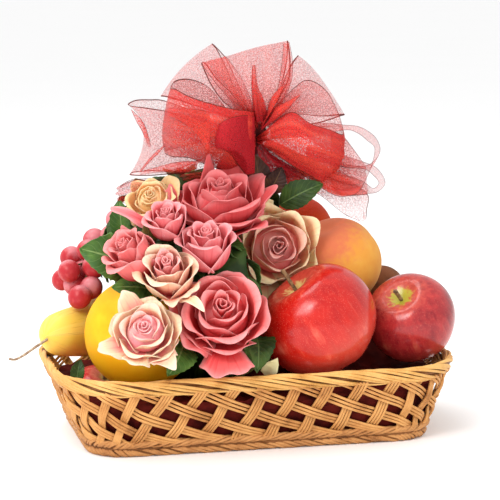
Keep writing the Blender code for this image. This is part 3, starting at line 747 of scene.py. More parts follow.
@dataclass(frozen=True)
class OrganzaFinish:
    """Sheer woven ribbon with a thin dark wired edge; the more thicknesses lie together, the denser it is."""

    name: str = "coral_organza"
    light: Colour = (228, 76, 62)
    deep: Colour = (208, 52, 50)
    gathered: Colour = (176, 34, 42)
    wire: Colour = (120, 42, 34)
    cover: float = 0.23
    wire_width: float = 0.018

    def make(self) -> Material:
        """Build the material.

        Returns:
            The material.
        """
        tree = Tree(self.name, 0.6, Specular_IOR_Level=0.05)
        across, along, side = tree.cloth()
        wire = tree.step(side, 0.5 - self.wire_width, 0.5 - self.wire_width * 0.6)
        grain = tree.noise(1000.0, 2.0)
        bands = tree.noise(1.0, 2.0, tree.combine(tree.calc("MULTIPLY", across, 7.0), along, 0.0))
        tone = tree.mix(tree.step(bands, 0.36, 0.64), self.deep, self.light)
        folds = tree.stored("folds")
        # Deeper red where many thicknesses lie together; on the strip under the knot it also paints the shade
        # under the bow.
        tone = tree.mix(tree.step(folds, 5.2, 8.6), tone, self.gathered)
        tree.colour(tree.mix(wire, tone, self.wire))
        thread = tree.calc("ADD", tree.step(grain, 0.38, 0.62, self.cover), self.cover * 0.5)
        seen_through = tree.calc("POWER", tree.calc("SUBTRACT", 1.0, thread), folds)
        closed = tree.calc("SUBTRACT", 1.0, seen_through)
        cover = tree.calc("MAXIMUM", closed, tree.calc("MULTIPLY", wire, 0.75))
        tree.links.new(cover, tree.shader.inputs["Alpha"])
        tree.bump(grain, 0.2, 0.0003)
        return tree.material


@dataclass(frozen=True)
class KnotFinish:
    """Ribbon gathered so tightly that it no longer lets light through, in a dark red that paints the shade in
    the knot's hollow.
    """

    name: str = "knot_organza"
    light: Colour = (106, 26, 26)
    dark: Colour = (54, 14, 14)

    def make(self) -> Material:
        """Build the material.

        Returns:
            The material.
        """
        tree = Tree(self.name, 0.7, Specular_IOR_Level=0.15)
        tree.colour(tree.ramp(tree.noise(260.0, 2.0), (0.35, self.dark), (0.65, self.light)))
        tree.bump(tree.noise(900.0, 2.0), 0.3, 0.0004)
        return tree.material


class Palette:
    """All finishes of the basket, each built once."""

    def __init__(self) -> None:
        """Build every material."""
        finishes = (
            RattanFinish(),
            # The wall's and the foot's rattan are darker copies of the rim's: painted shade on the woven wall
            # and the foot band.
            RattanFinish("rattan_wall", (228, 168, 100), (204, 141, 79), (138, 84, 43)),
            RattanFinish("rattan_foot", (214, 154, 94), (190, 130, 76), (128, 76, 40)),
            # Darker still for the core strands inside the rim and foot bands: painted shade between the
            # bands' strands.
            RattanFinish("rattan_inside", (150, 98, 54), (120, 74, 38), (80, 46, 24)),
            PaperFinish("maroon_paper", (106, 32, 26), (62, 16, 14)),
            PaperFinish("cream_paper", (255, 248, 200), (250, 230, 164)),
            AppleFinish("apple_scarlet", (238, 108, 84), (206, 34, 22), (178, 14, 12), (240, 208, 130)),
            AppleFinish("apple_wine", (216, 104, 80), (188, 50, 50), (140, 24, 34), (190, 180, 66), 0.55),
            AppleFinish("apple_striped", (252, 190, 150), (236, 84, 84), (214, 50, 60), (230, 206, 120)),
            # Painted light: the mango's downward side is paler than its body, lifting the shade under it.
            SkinFinish("mango_yellow", (247, 176, 8), (276, 214, 42), (249, 184, 12), 0.60,
                       (0.1, -0.3, -0.9), 0.50, 1.00, flesh=0.5),
            SkinFinish("peach_blush", (228, 156, 62), (220, 120, 80), (232, 174, 72), 0.85,
                       (-0.35, 0.2, 0.9), 0.35, 1.10, sheen=0.06, mottle=0.7),
            SkinFinish("orange_peel", (214, 78, 8), (192, 52, 12), (226, 98, 14), 0.75, pits=0.0012,
                       pit_scale=26.0),
            SkinFinish("kiwi_fuzz", (132, 78, 46), (146, 92, 54), (92, 54, 32), 0.95, pits=0.0008,
                       pit_scale=60.0, sheen=0.03),
            # Painted light: the pear's downward side is paler than its body, lifting the shade under it.
            SkinFinish("pear_yellow", (248, 212, 92), (262, 212, 96), (252, 224, 124), 0.5,
                       (0.0, -0.2, -1.0), 0.1, 1.0, speckle=(184, 140, 66), flesh=0.5),
            SkinFinish("grape_bloom", (190, 48, 56), (222, 132, 138), (206, 74, 76), 0.34,
                       (-0.3, -0.3, 0.9), 0.30, 1.0),
            StalkFinish(),
            StalkFinish("pear_stalk", (206, 184, 156), (150, 122, 96)),
            # Petal finishes: the deep colour at the petals' feet and in the heart is partly painted shade,
            # and the pale edge colour partly painted highlight.
            PetalFinish("petal_dusty", (222, 38, 46), (250, 98, 100), (252, 110, 108), (255, 190, 188),
                        (252, 134, 132)),
            PetalFinish("petal_wine", (180, 24, 34), (218, 78, 82), (226, 86, 88), (244, 164, 164),
                        (230, 108, 108)),
            PetalFinish("petal_rose", (214, 52, 62), (242, 106, 112), (246, 122, 126), (253, 194, 194),
                        (249, 148, 150)),
            PetalFinish("petal_coral", (208, 40, 50), (240, 98, 100), (244, 112, 112), (252, 184, 182),
                        (246, 136, 132)),
            PetalFinish("petal_tan", (242, 92, 96), (255, 156, 148), (255, 230, 166), (255, 244, 202),
                        (250, 184, 148), (255, 206, 196), 0.42),
            PetalFinish("petal_blush", (238, 88, 92), (255, 144, 144), (255, 214, 168), (255, 238, 212),
                        (254, 172, 156), (255, 204, 200), 0.45),
            PetalFinish("petal_peach", (250, 112, 128), (255, 172, 176), (255, 220, 178), (255, 240, 212),
                        (255, 194, 172), (255, 212, 206), 0.20),
            PetalFinish("petal_cream", (228, 150, 92), (248, 198, 128), (251, 214, 152), (254, 234, 188),
                        (244, 176, 138)),
            LeafFinish("leaf_fresh", (92, 130, 54), (60, 98, 40), (132, 160, 92)),
            LeafFinish("leaf_dark", (66, 92, 38), (40, 62, 26), (96, 120, 66)),
            # Dark brown finish of the leaves under the bow's knot: painted shade under the bow.
            LeafFinish("leaf_shade", (92, 58, 40), (52, 26, 22), (104, 76, 50)),
            LeafFinish("leaf_olive", (132, 120, 62), (96, 84, 42), (152, 142, 88)),
            OrganzaFinish(),
            KnotFinish(),
        )
        self.materials = {finish.name: finish.make() for finish in finishes}

    def __getitem__(self, name: str) -> Material:
        """Material of a name."""
        return self.materials[name]


def settle(piece: Piece, name: str, slot: str, *nodes: str) -> None:
    """Name a finished piece and tie it to the frame.

    Args:
        piece: The finished piece, with its materials.
        name: Its name.
        slot: Material slot of the record; not used.
        *nodes: Solids that it stands for.
    """
    piece.name = name
    piece.data.name = name
    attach(piece, ROOT)
    if nodes:
        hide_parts(*nodes)
    LOG.info("%s: %d faces", name, len(piece.data.polygons))


# Basket


@dataclass
class WovenBasket:
    """Shallow rattan basket with a twisted rim, an open woven wall and a plaited foot."""

    palette: Palette
    rim_length: float = 0.309
    rim_width: float = 0.192
    rim_corner: float = 0.061
    base_length: float = 0.260
    base_width: float = 0.145
    base_corner: float = 0.029
    height: float = 0.0605
    rim_band: float = 0.0125
    foot_band: float = 0.013
    band_depth: float = 0.007
    strand: float = 0.00115
    steep_groups: int = 38
    steep_gap: float = 0.0025
    steep_lean: float = 0.019
    shallow_groups: int = 24
    shallow_gap: float = 0.0066
    shallow_lean: float = 0.104
    weave_depth: float = 0.0030
    weave_swing: float = 0.0017

    def ring_point(self, length: float, width: float, corner: float, where: float) -> tuple[Vector, Vector]:
        """Find a point of a rounded rectangle.

        Args:
            length: Its size along X.
            width: Its size along Y.
            corner: Radius of its corners.
            where: From 0 to 8, over its four sides and the corner after each.

        Returns:
            The point and the outward normal there.
        """
        half_x, half_y = length / 2 - corner, width / 2 - corner
        part = int(where) % 8
        along = where - int(where)
        quarter = part // 2
        corners = ((half_x, -half_y), (half_x, half_y), (-half_x, half_y), (-half_x, -half_y))
        normals = ((0, -1), (1, 0), (0, 1), (-1, 0))
        if part % 2:
            angle = math.radians(-90 + 90 * (quarter + along))
            normal = Vector((math.cos(angle), math.sin(angle)))
            return Vector(corners[quarter]) + normal * corner, normal
        normal = Vector(normals[quarter])
        return Vector(corners[quarter - 1]).lerp(Vector(corners[quarter]), along) + normal * corner, normal

    def where_at(self, fraction: float) -> float:
        """Find the side or corner of a place on the way round.

        Args:
            fraction: Share of the way round the rim.

        Returns:
            The place as ring_point reads it, from 0 to 8.
        """
        arc = math.pi * self.rim_corner / 2
        lengths = (self.rim_length - 2 * self.rim_corner, arc, self.rim_width - 2 * self.rim_corner, arc) * 2
        run = (fraction % 1.0) * sum(lengths)
        for index, part in enumerate(lengths):
            if run < part:
                return index + run / part
            run -= part
        return 0.0

    @property
    def perimeter(self) -> float:
        """Length of the way round the rim."""
        return 2 * (self.rim_length + self.rim_width) - (8 - math.tau) * self.rim_corner

    def wall(self, fraction: float, height: float, outward: float) -> Vector:
        """Find a point of the sloping wall.

        Args:
            fraction: Share of the way round.
            height: Height above the table.
            outward: Distance out from the wall's outer face.

        Returns:
            The point.
        """
        rise = height / self.height
        point, normal = self.ring_point(
            blend(rise, self.base_length, self.rim_length),
            blend(rise, self.base_width, self.rim_width),
            blend(rise, self.base_corner, self.rim_corner),
            self.where_at(fraction),
        )
        flat = point + normal * outward
        return Vector((flat.x, flat.y, height))

    def rope(self, low: float, high: float, count: int, turns: int, stations: int,
             seed: int) -> list[list[Spot]]:
        """Strands that wind round an oval band.

        Args:
            low: Lowest height of the band.
            high: Highest height of the band.
            count: Number of strands.
            turns: Whole turns on the way round, negative for the other hand.
            stations: Points of each strand.
            seed: Seed of their unevenness.

        Returns:
            One closed path for each strand.
        """
        rng = random.Random(seed)
        middle = (low + high) / 2
        half_height = (high - low) / 2 - self.strand
        half_depth = self.band_depth / 2 - self.strand
        paths = []
        for index in range(count):
            phase = rng.uniform(-0.12, 0.12)
            drift = rng.uniform(0.0, FULL_TURN)
            thickness = rng.uniform(0.92, 1.10)
            path = []
            for station in range(stations):
                fraction = station / stations
                sway = 0.22 * math.sin(FULL_TURN * 3 * fraction + drift)
                angle = FULL_TURN * (index / count + turns * fraction) + phase + sway
                lift = 0.0004 * math.sin(FULL_TURN * 7 * fraction + drift)
                height = middle + half_height * math.sin(angle) + lift
                outward = half_depth * math.cos(angle) - self.band_depth / 2
                path.append(Spot(self.wall(fraction, height, outward), thickness))
            paths.append(path)
        return paths

    def core(self, low: float, high: float) -> Piece:
        """Straight strands inside a band, so that no light shows through it; their darker rattan paints the
        shade between the band's strands.

        Args:
            low: Lowest height of the band.
            high: Highest height of the band.

        Returns:
            The strands as one piece.
        """
        count, stations, inset = 3, 120, 0.001
        paths = []
        for index in range(count):
            height = blend((index + 0.5) / count, low + inset, high - inset)
            shares = (station / stations for station in range(stations))
            paths.append([Spot(self.wall(share, height, -self.band_depth / 2), 1.5) for share in shares])
        piece = strands(paths, self.strand, closed=True)
        dress(piece, self.palette["rattan_inside"])
        return piece

    def steep_run(self, share: float) -> float:
        """How far a steep strand has run along the wall at a share of its height."""
        return self.steep_lean * share / self.perimeter

    def shallow_run(self, share: float) -> float:
        """How far a shallow strand has run along the wall at a share of the height."""
        return self.shallow_lean * (1.0 - share**0.80) / self.perimeter

    def weave(self) -> tuple[list[list[Spot]], list[list[Spot]]]:
        """Steep and shallow strand groups that pass over and under each other.

        Returns:
            Paths of the steep strands and of the shallow ones.
        """
        low, high = self.foot_band - 0.003, self.height - self.rim_band + 0.003
        rng = random.Random(12)
        steep, shallow = [], []
        for index in range(self.steep_groups):
            start = index / self.steep_groups + rng.uniform(-0.0012, 0.0012)
            for strand in range(4):
                path = []
                bow = rng.uniform(-0.0003, 0.0003)
                for step in range(15):
                    share = step / 14
                    waist = math.sin(math.pi * share)
                    shift = (strand - 1.5) * self.steep_gap / self.perimeter * (1.0 - 0.12 * waist)
                    fraction = start + self.steep_run(share) + shift
                    other = (fraction - self.shallow_run(share)) * self.shallow_groups
                    over = self.weave_swing * math.cos(math.pi * (index + other))
                    height = blend(share, low, high)
                    place = self.wall(fraction + bow * waist, height, -self.weave_depth + over)
                    path.append(Spot(place, rng.uniform(0.90, 1.0)))
                steep.append(path)
        for index in range(self.shallow_groups):
            start = index / self.shallow_groups + rng.uniform(-0.0016, 0.0016)
            for strand in range(3):
                path = []
                drop = rng.uniform(0.95, 1.06)
                for step in range(37):
                    share = 1.0 - step / 36
                    shift = (strand - 1.0) * self.shallow_gap * drop / self.perimeter
                    fraction = start + self.shallow_run(share) + shift
                    other = (fraction - self.steep_run(share)) * self.steep_groups
                    over = -self.weave_swing * math.cos(math.pi * (index + other))
                    place = self.wall(fraction, blend(share, low, high), -self.weave_depth + over)
                    path.append(Spot(place, rng.uniform(0.92, 1.02)))
                shallow.append(path)
        return steep, shallow

    def build(self) -> None:
        """Make the rim, wall and foot."""
        low, split = self.height - self.rim_band, self.foot_band * 0.5
        rim = strands(self.rope(low, self.height, 11, -7, 420, 1), self.strand * 1.04, closed=True)
        dress(rim, self.palette["rattan_strand"])
        rim = join("rim", [rim, self.core(low, self.height)])
        settle(rim, "rim_strands", "rattan", "basket_rim")

        lower = strands(self.rope(0.0, split, 5, -27, 440, 2), self.strand, closed=True)
        upper = strands(self.rope(split, self.foot_band, 5, 26, 440, 3), self.strand, closed=True)
        foot = join("foot", [lower, upper])
        dress(foot, self.palette["rattan_foot"])
        foot = join("foot", [foot, self.core(0.001, self.foot_band - 0.001)])
        settle(foot, "foot_plait", "rattan", "basket_foot")

        steep, shallow = self.weave()
        wall = join("wall", [strands(steep, self.strand * 0.92), strands(shallow, self.strand)])
        dress(wall, self.palette["rattan_wall"])
        settle(wall, "woven_wall", "rattan", "basket_lattice")


# Filling


@dataclass
class Packing:
    """Crumpled paper bed and the tip of cream tissue at the front rim."""

    palette: Palette
    bed: Piece
    tip: Piece

    def build(self) -> None:
        """Make the bed from its solid, crumpled, and the tissue tip."""
        middle, lifted = Vector((0.0, 0.0, 0.030)), Vector((5.0, 0.0, 0.0))

        def crumple(place: Vector) -> Vector:
            """Where a corner of the bed goes."""
            folds = abs(noise.noise(place * 70.0)) + 0.5 * abs(noise.noise(place * 170.0 + lifted))
            inwards = (middle - place).normalized()
            against_wall = 0.006 * ease(place.x, 0.100, 0.140) * ease(place.z, 0.020, 0.040)
            open_slope = 0.010 * folds * ease(place.z, 0.058, 0.075)
            sag = (0.0070 * folds - 0.0035) * ease(place.z, 0.020, 0.045)
            moved = place + inwards * (0.0004 + open_slope) + Vector((0.0, 0.0, against_wall))
            return moved - Vector((0.0, 0.0, sag))

        bed = finer_copy(self.bed, 5)
        shape(bed, crumple)
        dress(bed, self.palette["maroon_paper"])
        smooth(bed, 40.0)
        settle(bed, "paper_bed", "maroon_paper", "filler_bed")
        tip = finer_copy(self.tip, 2)
        dress(tip, self.palette["cream_paper"])
        smooth(tip, 50.0)
        settle(tip, "tissue_tip", "cream_paper", "paper_corner")


# Fruit


class Form(Enum):
    """Kinds of round fruit."""

    APPLE = "apple"
    PEACH = "peach"
    MANGO = "mango"
    ORANGE = "orange"
    KIWI = "kiwi"

    def reach(self, polar: float, around: float) -> float:
        """Find how far out the skin lies.

        Args:
            polar: Angle from the stem end, in radians.
            around: Angle round the stem, in radians.

        Returns:
            The skin's radius as a share of the fruit's.
        """
        if self is Form.APPLE:
            hollow = 0.34 * math.exp(-((polar / 0.40) ** 2))
            blossom = 0.14 * math.exp(-(((math.pi - polar) / 0.34) ** 2))
            lobes = 0.016 * math.cos(5 * around) * (1 - math.cos(polar)) / 2
            shoulder = 0.03 * math.exp(-(((polar - 1.0) / 0.5) ** 2))
            return 1.0 - hollow - blossom + lobes + shoulder
        if self is Form.PEACH:
            hollow = 0.14 * math.exp(-((polar / 0.30) ** 2))
            return 1.0 - hollow - 0.035 * math.exp(-((around / 0.22) ** 2)) * math.sin(polar)
        if self is Form.MANGO:
            return 0.985 + 0.015 * math.cos(around) * math.sin(polar)
        if self is Form.ORANGE:
            dimple = 0.02 * math.exp(-(((math.pi - polar) / 0.35) ** 2))
            return 1.0 - 0.05 * math.exp(-((polar / 0.35) ** 2)) - dimple
        return 1.0


@dataclass(frozen=True)
class Fruit:
    """A round fruit: where it lies, the way its stem end looks, and its skin."""

    name: str
    form: Form
    centre: Place
    axis: Place
    radius: float
    finish: str
    slot: str
    stretch: float = 1.0
    stem_lean: Place | None = None
    stem_length: float = 0.017


FRUIT = (
    Fruit("apple_front", Form.APPLE, (0.045, -0.048, 0.0895), (-0.58, 0.018, 0.815), 0.0444,
          "apple_scarlet", "apple_skin", 0.93, (0.04, 0.0, 0.0), 0.0215),
    Fruit("apple_right", Form.APPLE, (0.1235, -0.03, 0.085), (-0.482, -0.464, 0.743), 0.034,
          "apple_wine", "apple_skin", 0.97, (-0.2, 0.0, 0.1), 0.013),
    Fruit("apple_small", Form.APPLE, (-0.113, -0.002, 0.0312), (0.2, -0.4, 0.9), 0.0235,
          "apple_striped", "apple_skin", 0.97, (0.0, 0.1, 0.0), 0.006),
    Fruit("mango", Form.MANGO, (-0.0865, -0.03, 0.083), (0.25, 0.9, -0.1), 0.042,
          "mango_yellow", "mango_skin"),
    Fruit("peach", Form.PEACH, (0.0785, 0.02, 0.1225), (-0.35, -0.3, 0.88), 0.0355,
          "peach_blush", "peach_skin", 0.96),
    Fruit("orange", Form.ORANGE, (0.06, 0.074, 0.139), (0.1, -0.2, 0.95), 0.03,
          "orange_peel", "orange_skin"),
    Fruit("kiwi", Form.KIWI, (0.1225, 0.043, 0.0945), (0.3, 0.9, 0.2), 0.0195,
          "kiwi_fuzz", "kiwi_skin", 1.15),
)
GRAPES = (
    (-0.1298, 0.029, 0.1217), (-0.1245, 0.012, 0.1045), (-0.115, 0.035, 0.1366),
    (-0.114, 0.0225, 0.1095), (-0.095, 0.042, 0.1455), (-0.09, 0.048, 0.157),
    (-0.111, 0.027, 0.125), (-0.133, 0.043, 0.113), (-0.125, 0.052, 0.129),
    (-0.106, 0.056, 0.141), (-0.112, 0.059, 0.12), (-0.125, 0.034, 0.11),
    (-0.108, 0.043, 0.129), (-0.099, 0.051, 0.133), (-0.118, 0.044, 0.118),
)


def clear_of_fruit(place: Vector, margin: float = 0.0006) -> Vector:
    """Move a place out of the round fruit.

    Args:
        place: The place.
        margin: Distance that it keeps from a skin, in metres.

    Returns:
        The nearest place outside.
    """
    for fruit in FRUIT:
        away = place - Vector(fruit.centre)
        reach = fruit.radius + margin
        if away.length < reach:
            place = Vector(fruit.centre) + away.normalized() * reach
    return place


@dataclass
class FruitBowl:
    """All the fruit of the basket."""

    palette: Palette
    grape_radius: float = 0.0090

    def pressed(self, fruit: Fruit, place: Vector) -> Vector:
        """Hold a vertex of one fruit back at the flat contact with its neighbours.

        Args:
            fruit: The fruit.
            place: Where its skin would be with no neighbour.

        Returns:
            Where its skin is.
        """
        for other in FRUIT:
            if other is fruit:
                continue
            line = Vector(other.centre) - Vector(fruit.centre)
            near = fruit.radius * max(1.0, fruit.stretch)
            far = other.radius * max(1.0, other.stretch)
            if line.length >= near + far:
                continue
            share = (line.length_squared + near**2 - far**2) / (2 * line.length) - 0.0002
            beyond = (place - Vector(fruit.centre)).dot(line.normalized()) - share
            if beyond > 0:
                place = place - line.normalized() * beyond
        return place

    def round_fruit(self, fruit: Fruit) -> None:
        """Make one round fruit with its stalk.

        Args:
            fruit: The fruit.
        """
        segments, rings = (72, 48) if fruit.radius > 0.03 else (48, 32)
        piece = ball(segments, rings)
        stand = turned(fruit.centre, fruit.axis)
        mark_growth(piece, [vertex.co.normalized() for vertex in piece.data.vertices])

        def grow(corner: Vector) -> Vector:
            """Where a corner of the ball goes."""
            way = corner.normalized()
            polar = math.acos(max(-1.0, min(1.0, way.z)))
            place = way * fruit.radius * fruit.form.reach(polar, math.atan2(way.y, way.x))
            place.z *= fruit.stretch
            return self.pressed(fruit, stand @ place)

        shape(piece, grow)
        smooth(piece)
        dress(piece, self.palette[fruit.finish])
        if fruit.stem_lean:
            piece = join(fruit.name, [piece, self.apple_stalk(fruit)])
        settle(piece, f"{fruit.name}_skin", fruit.slot, fruit.name)

    def apple_stalk(self, fruit: Fruit) -> Piece:
        """Make the stalk that stands in an apple's hollow.

        Args:
            fruit: The apple.

        Returns:
            The stalk, dressed.
        """
        up = Vector(fruit.axis).normalized()
        foot = Vector(fruit.centre) + up * fruit.radius * 0.55
        tip = foot + (up + Vector(fruit.stem_lean)).normalized() * (fruit.stem_length + fruit.radius * 0.05)
        middle = foot.lerp(tip, 0.5) + up * fruit.radius * 0.03
        return self.twig((foot, middle, tip), 0.0012, 0.0018, 14)

    def pear(self) -> None:
        """Make the pear that lies with its neck over the left end of the rim."""
        neck, bulb = Vector((-0.1525, 0.0005, 0.0778)), Vector((-0.0720, 0.0720, 0.0720))
        girth = (0.0130, 0.0152, 0.0168, 0.0182, 0.0192, 0.0203, 0.0219, 0.0238, 0.0254, 0.0266, 0.0266,
                 0.0250, 0.0200)
        widths = [Vector((value, 0.0, 0.0)) for value in girth]
        axis = bulb - neck
        stand = turned(neck, axis)
        turn = stand.to_3x3()
        piece = ball(56, 48)
        ways = []
        for vertex in piece.data.vertices:
            way = vertex.co.normalized()
            along = (1.0 + way.z) / 2
            round_off = math.sqrt(max(0.0, 1.0 - max(0.0, abs(way.z) - 0.72) ** 2 / 0.0784))
            across = Vector((way.x, way.y, 0.0))
            across = across.normalized() if across.length > 1e-6 else across
            radius = along_points(widths, along).x * round_off
            ways.append(turn @ (across * 0.9) + Vector((0.0, 0.0, 0.2 * along)))
            vertex.co = stand @ (across * radius + Vector((0.0, 0.0, along * axis.length)))
        mark_growth(piece, ways)
        smooth(piece)
        dress(piece, self.palette["pear_yellow"])
        route = ((-0.1500, 0.0010, 0.0760), (-0.1600, -0.0070, 0.0722), (-0.1700, -0.0110, 0.0668),
                 (-0.1770, -0.0125, 0.0640), (-0.1815, -0.0130, 0.0650))
        twig = stalk(route, 0.0011, 0.0009)
        dress(twig, self.palette["pear_stalk"])
        settle(join("pear_skin", [piece, twig]), "pear_skin", "pear_skin", "pear")

    def grapes(self) -> None:
        """Make the bunch of grapes: one grape, copied, on its stalks."""
        middle = Vector((-0.1090, 0.0460, 0.1260))
        first = ball(28, 20)
        mark_growth(first, [vertex.co.copy() for vertex in first.data.vertices])
        smooth(first)
        dress(first, self.palette["grape_bloom"])
        pieces = []
        for index, centre in enumerate(GRAPES):
            grape = copy_of(first)
            radius = self.grape_radius * (0.94 + 0.06 * math.sin(index * 2.3))
            lean = (math.sin(index), math.cos(index), 1.0)
            grape.data.transform(turned(centre, lean) @ Matrix.Diagonal((radius, radius, radius * 1.06, 1.0)))
            foot = Vector(centre)
            bend = middle.lerp(foot, 0.6) + Vector((0, 0, 0.002))
            pieces.extend((grape, self.twig((middle, bend, foot), 0.0008, 0.0009, 6)))
        bpy.data.objects.remove(first, do_unlink=True)
        route = (middle, (-0.0910, 0.0540, 0.1480), (-0.0870, 0.0600, 0.1590), (-0.0810, 0.0640, 0.1660))
        piece = join("grape_bunch", [*pieces, self.twig(route, 0.0018, 0.0015, 14)])
        settle(piece, "grape_bunch", "grape_skin", "grapes")

    def twig(self, route: Sequence[Sequence[float]], start: float, end: float, steps: int) -> Piece:
        """Make a dressed stalk.

        Args:
            route: Points in metres.
            start: Radius at the first point.
            end: Radius at the last point.
            steps: Points along it.

        Returns:
            The stalk.
        """
        piece = stalk(route, start, end, steps)
        dress(piece, self.palette["woody_stalk"])
        return piece

    def build(self) -> None:
        """Make every fruit."""
        for fruit in FRUIT:
            self.round_fruit(fruit)
        self.pear()
        self.grapes()


# Roses


@dataclass(frozen=True)
class PetalRow:
    """One ring of petals; belly, shoulder and lip are (radius, height) in shares of the bloom's radius."""

    count: int
    half_width: float
    belly: tuple[float, float]
    shoulder: tuple[float, float]
    lip: tuple[float, float]
    roll: float
    point: float = 0.03
    taper: float = 0.0


class Bloom(Enum):
    """How far a rose has opened."""

    OPEN = (
        PetalRow(3, 1.35, (0.22, -0.4), (0.26, 0.1), (0.17, 0.38), 60.0),
        PetalRow(3, 1.3, (0.4, -0.46), (0.42, 0.06), (0.31, 0.4), 70.0, 0.05),
        PetalRow(3, 1.3, (0.56, -0.54), (0.58, 0.0), (0.44, 0.36), 110.0, 0.08),
        PetalRow(4, 1.1, (0.74, -0.64), (0.76, -0.1), (0.66, 0.26), 165.0, 0.1),
        PetalRow(5, 0.86, (0.76, -0.78), (0.88, -0.34), (0.92, -0.04), 130.0, 0.13),
    )
    WIDE = (
        PetalRow(3, 1.35, (0.22, -0.5), (0.28, -0.1), (0.2, 0.16), 60.0),
        PetalRow(3, 1.3, (0.42, -0.54), (0.45, -0.12), (0.34, 0.18), 80.0, 0.06),
        PetalRow(3, 1.25, (0.6, -0.6), (0.62, -0.2), (0.52, 0.12), 120.0, 0.09),
        PetalRow(4, 1.05, (0.78, -0.7), (0.8, -0.32), (0.76, 0.02), 165.0, 0.12),
        PetalRow(5, 0.86, (0.78, -0.82), (0.92, -0.48), (0.97, -0.26), 120.0, 0.16),
    )
    CUP = (
        PetalRow(3, 1.35, (0.22, -0.3), (0.26, 0.3), (0.17, 0.62), 60.0),
        PetalRow(3, 1.3, (0.38, -0.34), (0.42, 0.28), (0.32, 0.68), 80.0, 0.06),
        PetalRow(3, 1.3, (0.54, -0.42), (0.58, 0.22), (0.46, 0.7), 110.0, 0.1),
        PetalRow(3, 1.25, (0.68, -0.54), (0.74, 0.12), (0.64, 0.64), 150.0, 0.12),
    )


CORE_MIDDLE = Vector((-0.03, 0.008, 0.119))
PETAL_FOOT = (0.08, -0.86)
WRAP = (1.66, (0.8, -0.8), (0.88, -0.16), (0.8, 0.54), 140.0, 0.16)


@dataclass(frozen=True)
class Rose:
    """A silk rose: the ball that holds it, the way it faces, how far it has opened, and its finish.

    Each loose petal is its direction in degrees, 0 to the right and 90 up as seen from the front, and then
    what a PetalRow says after its count.
    """

    name: str
    centre: Place
    facing: Place
    radius: float
    bloom: Bloom
    turn: float
    finish: str
    slot: str
    loose: tuple[tuple[object, ...], ...] = ()
    crumple: float = 0.065


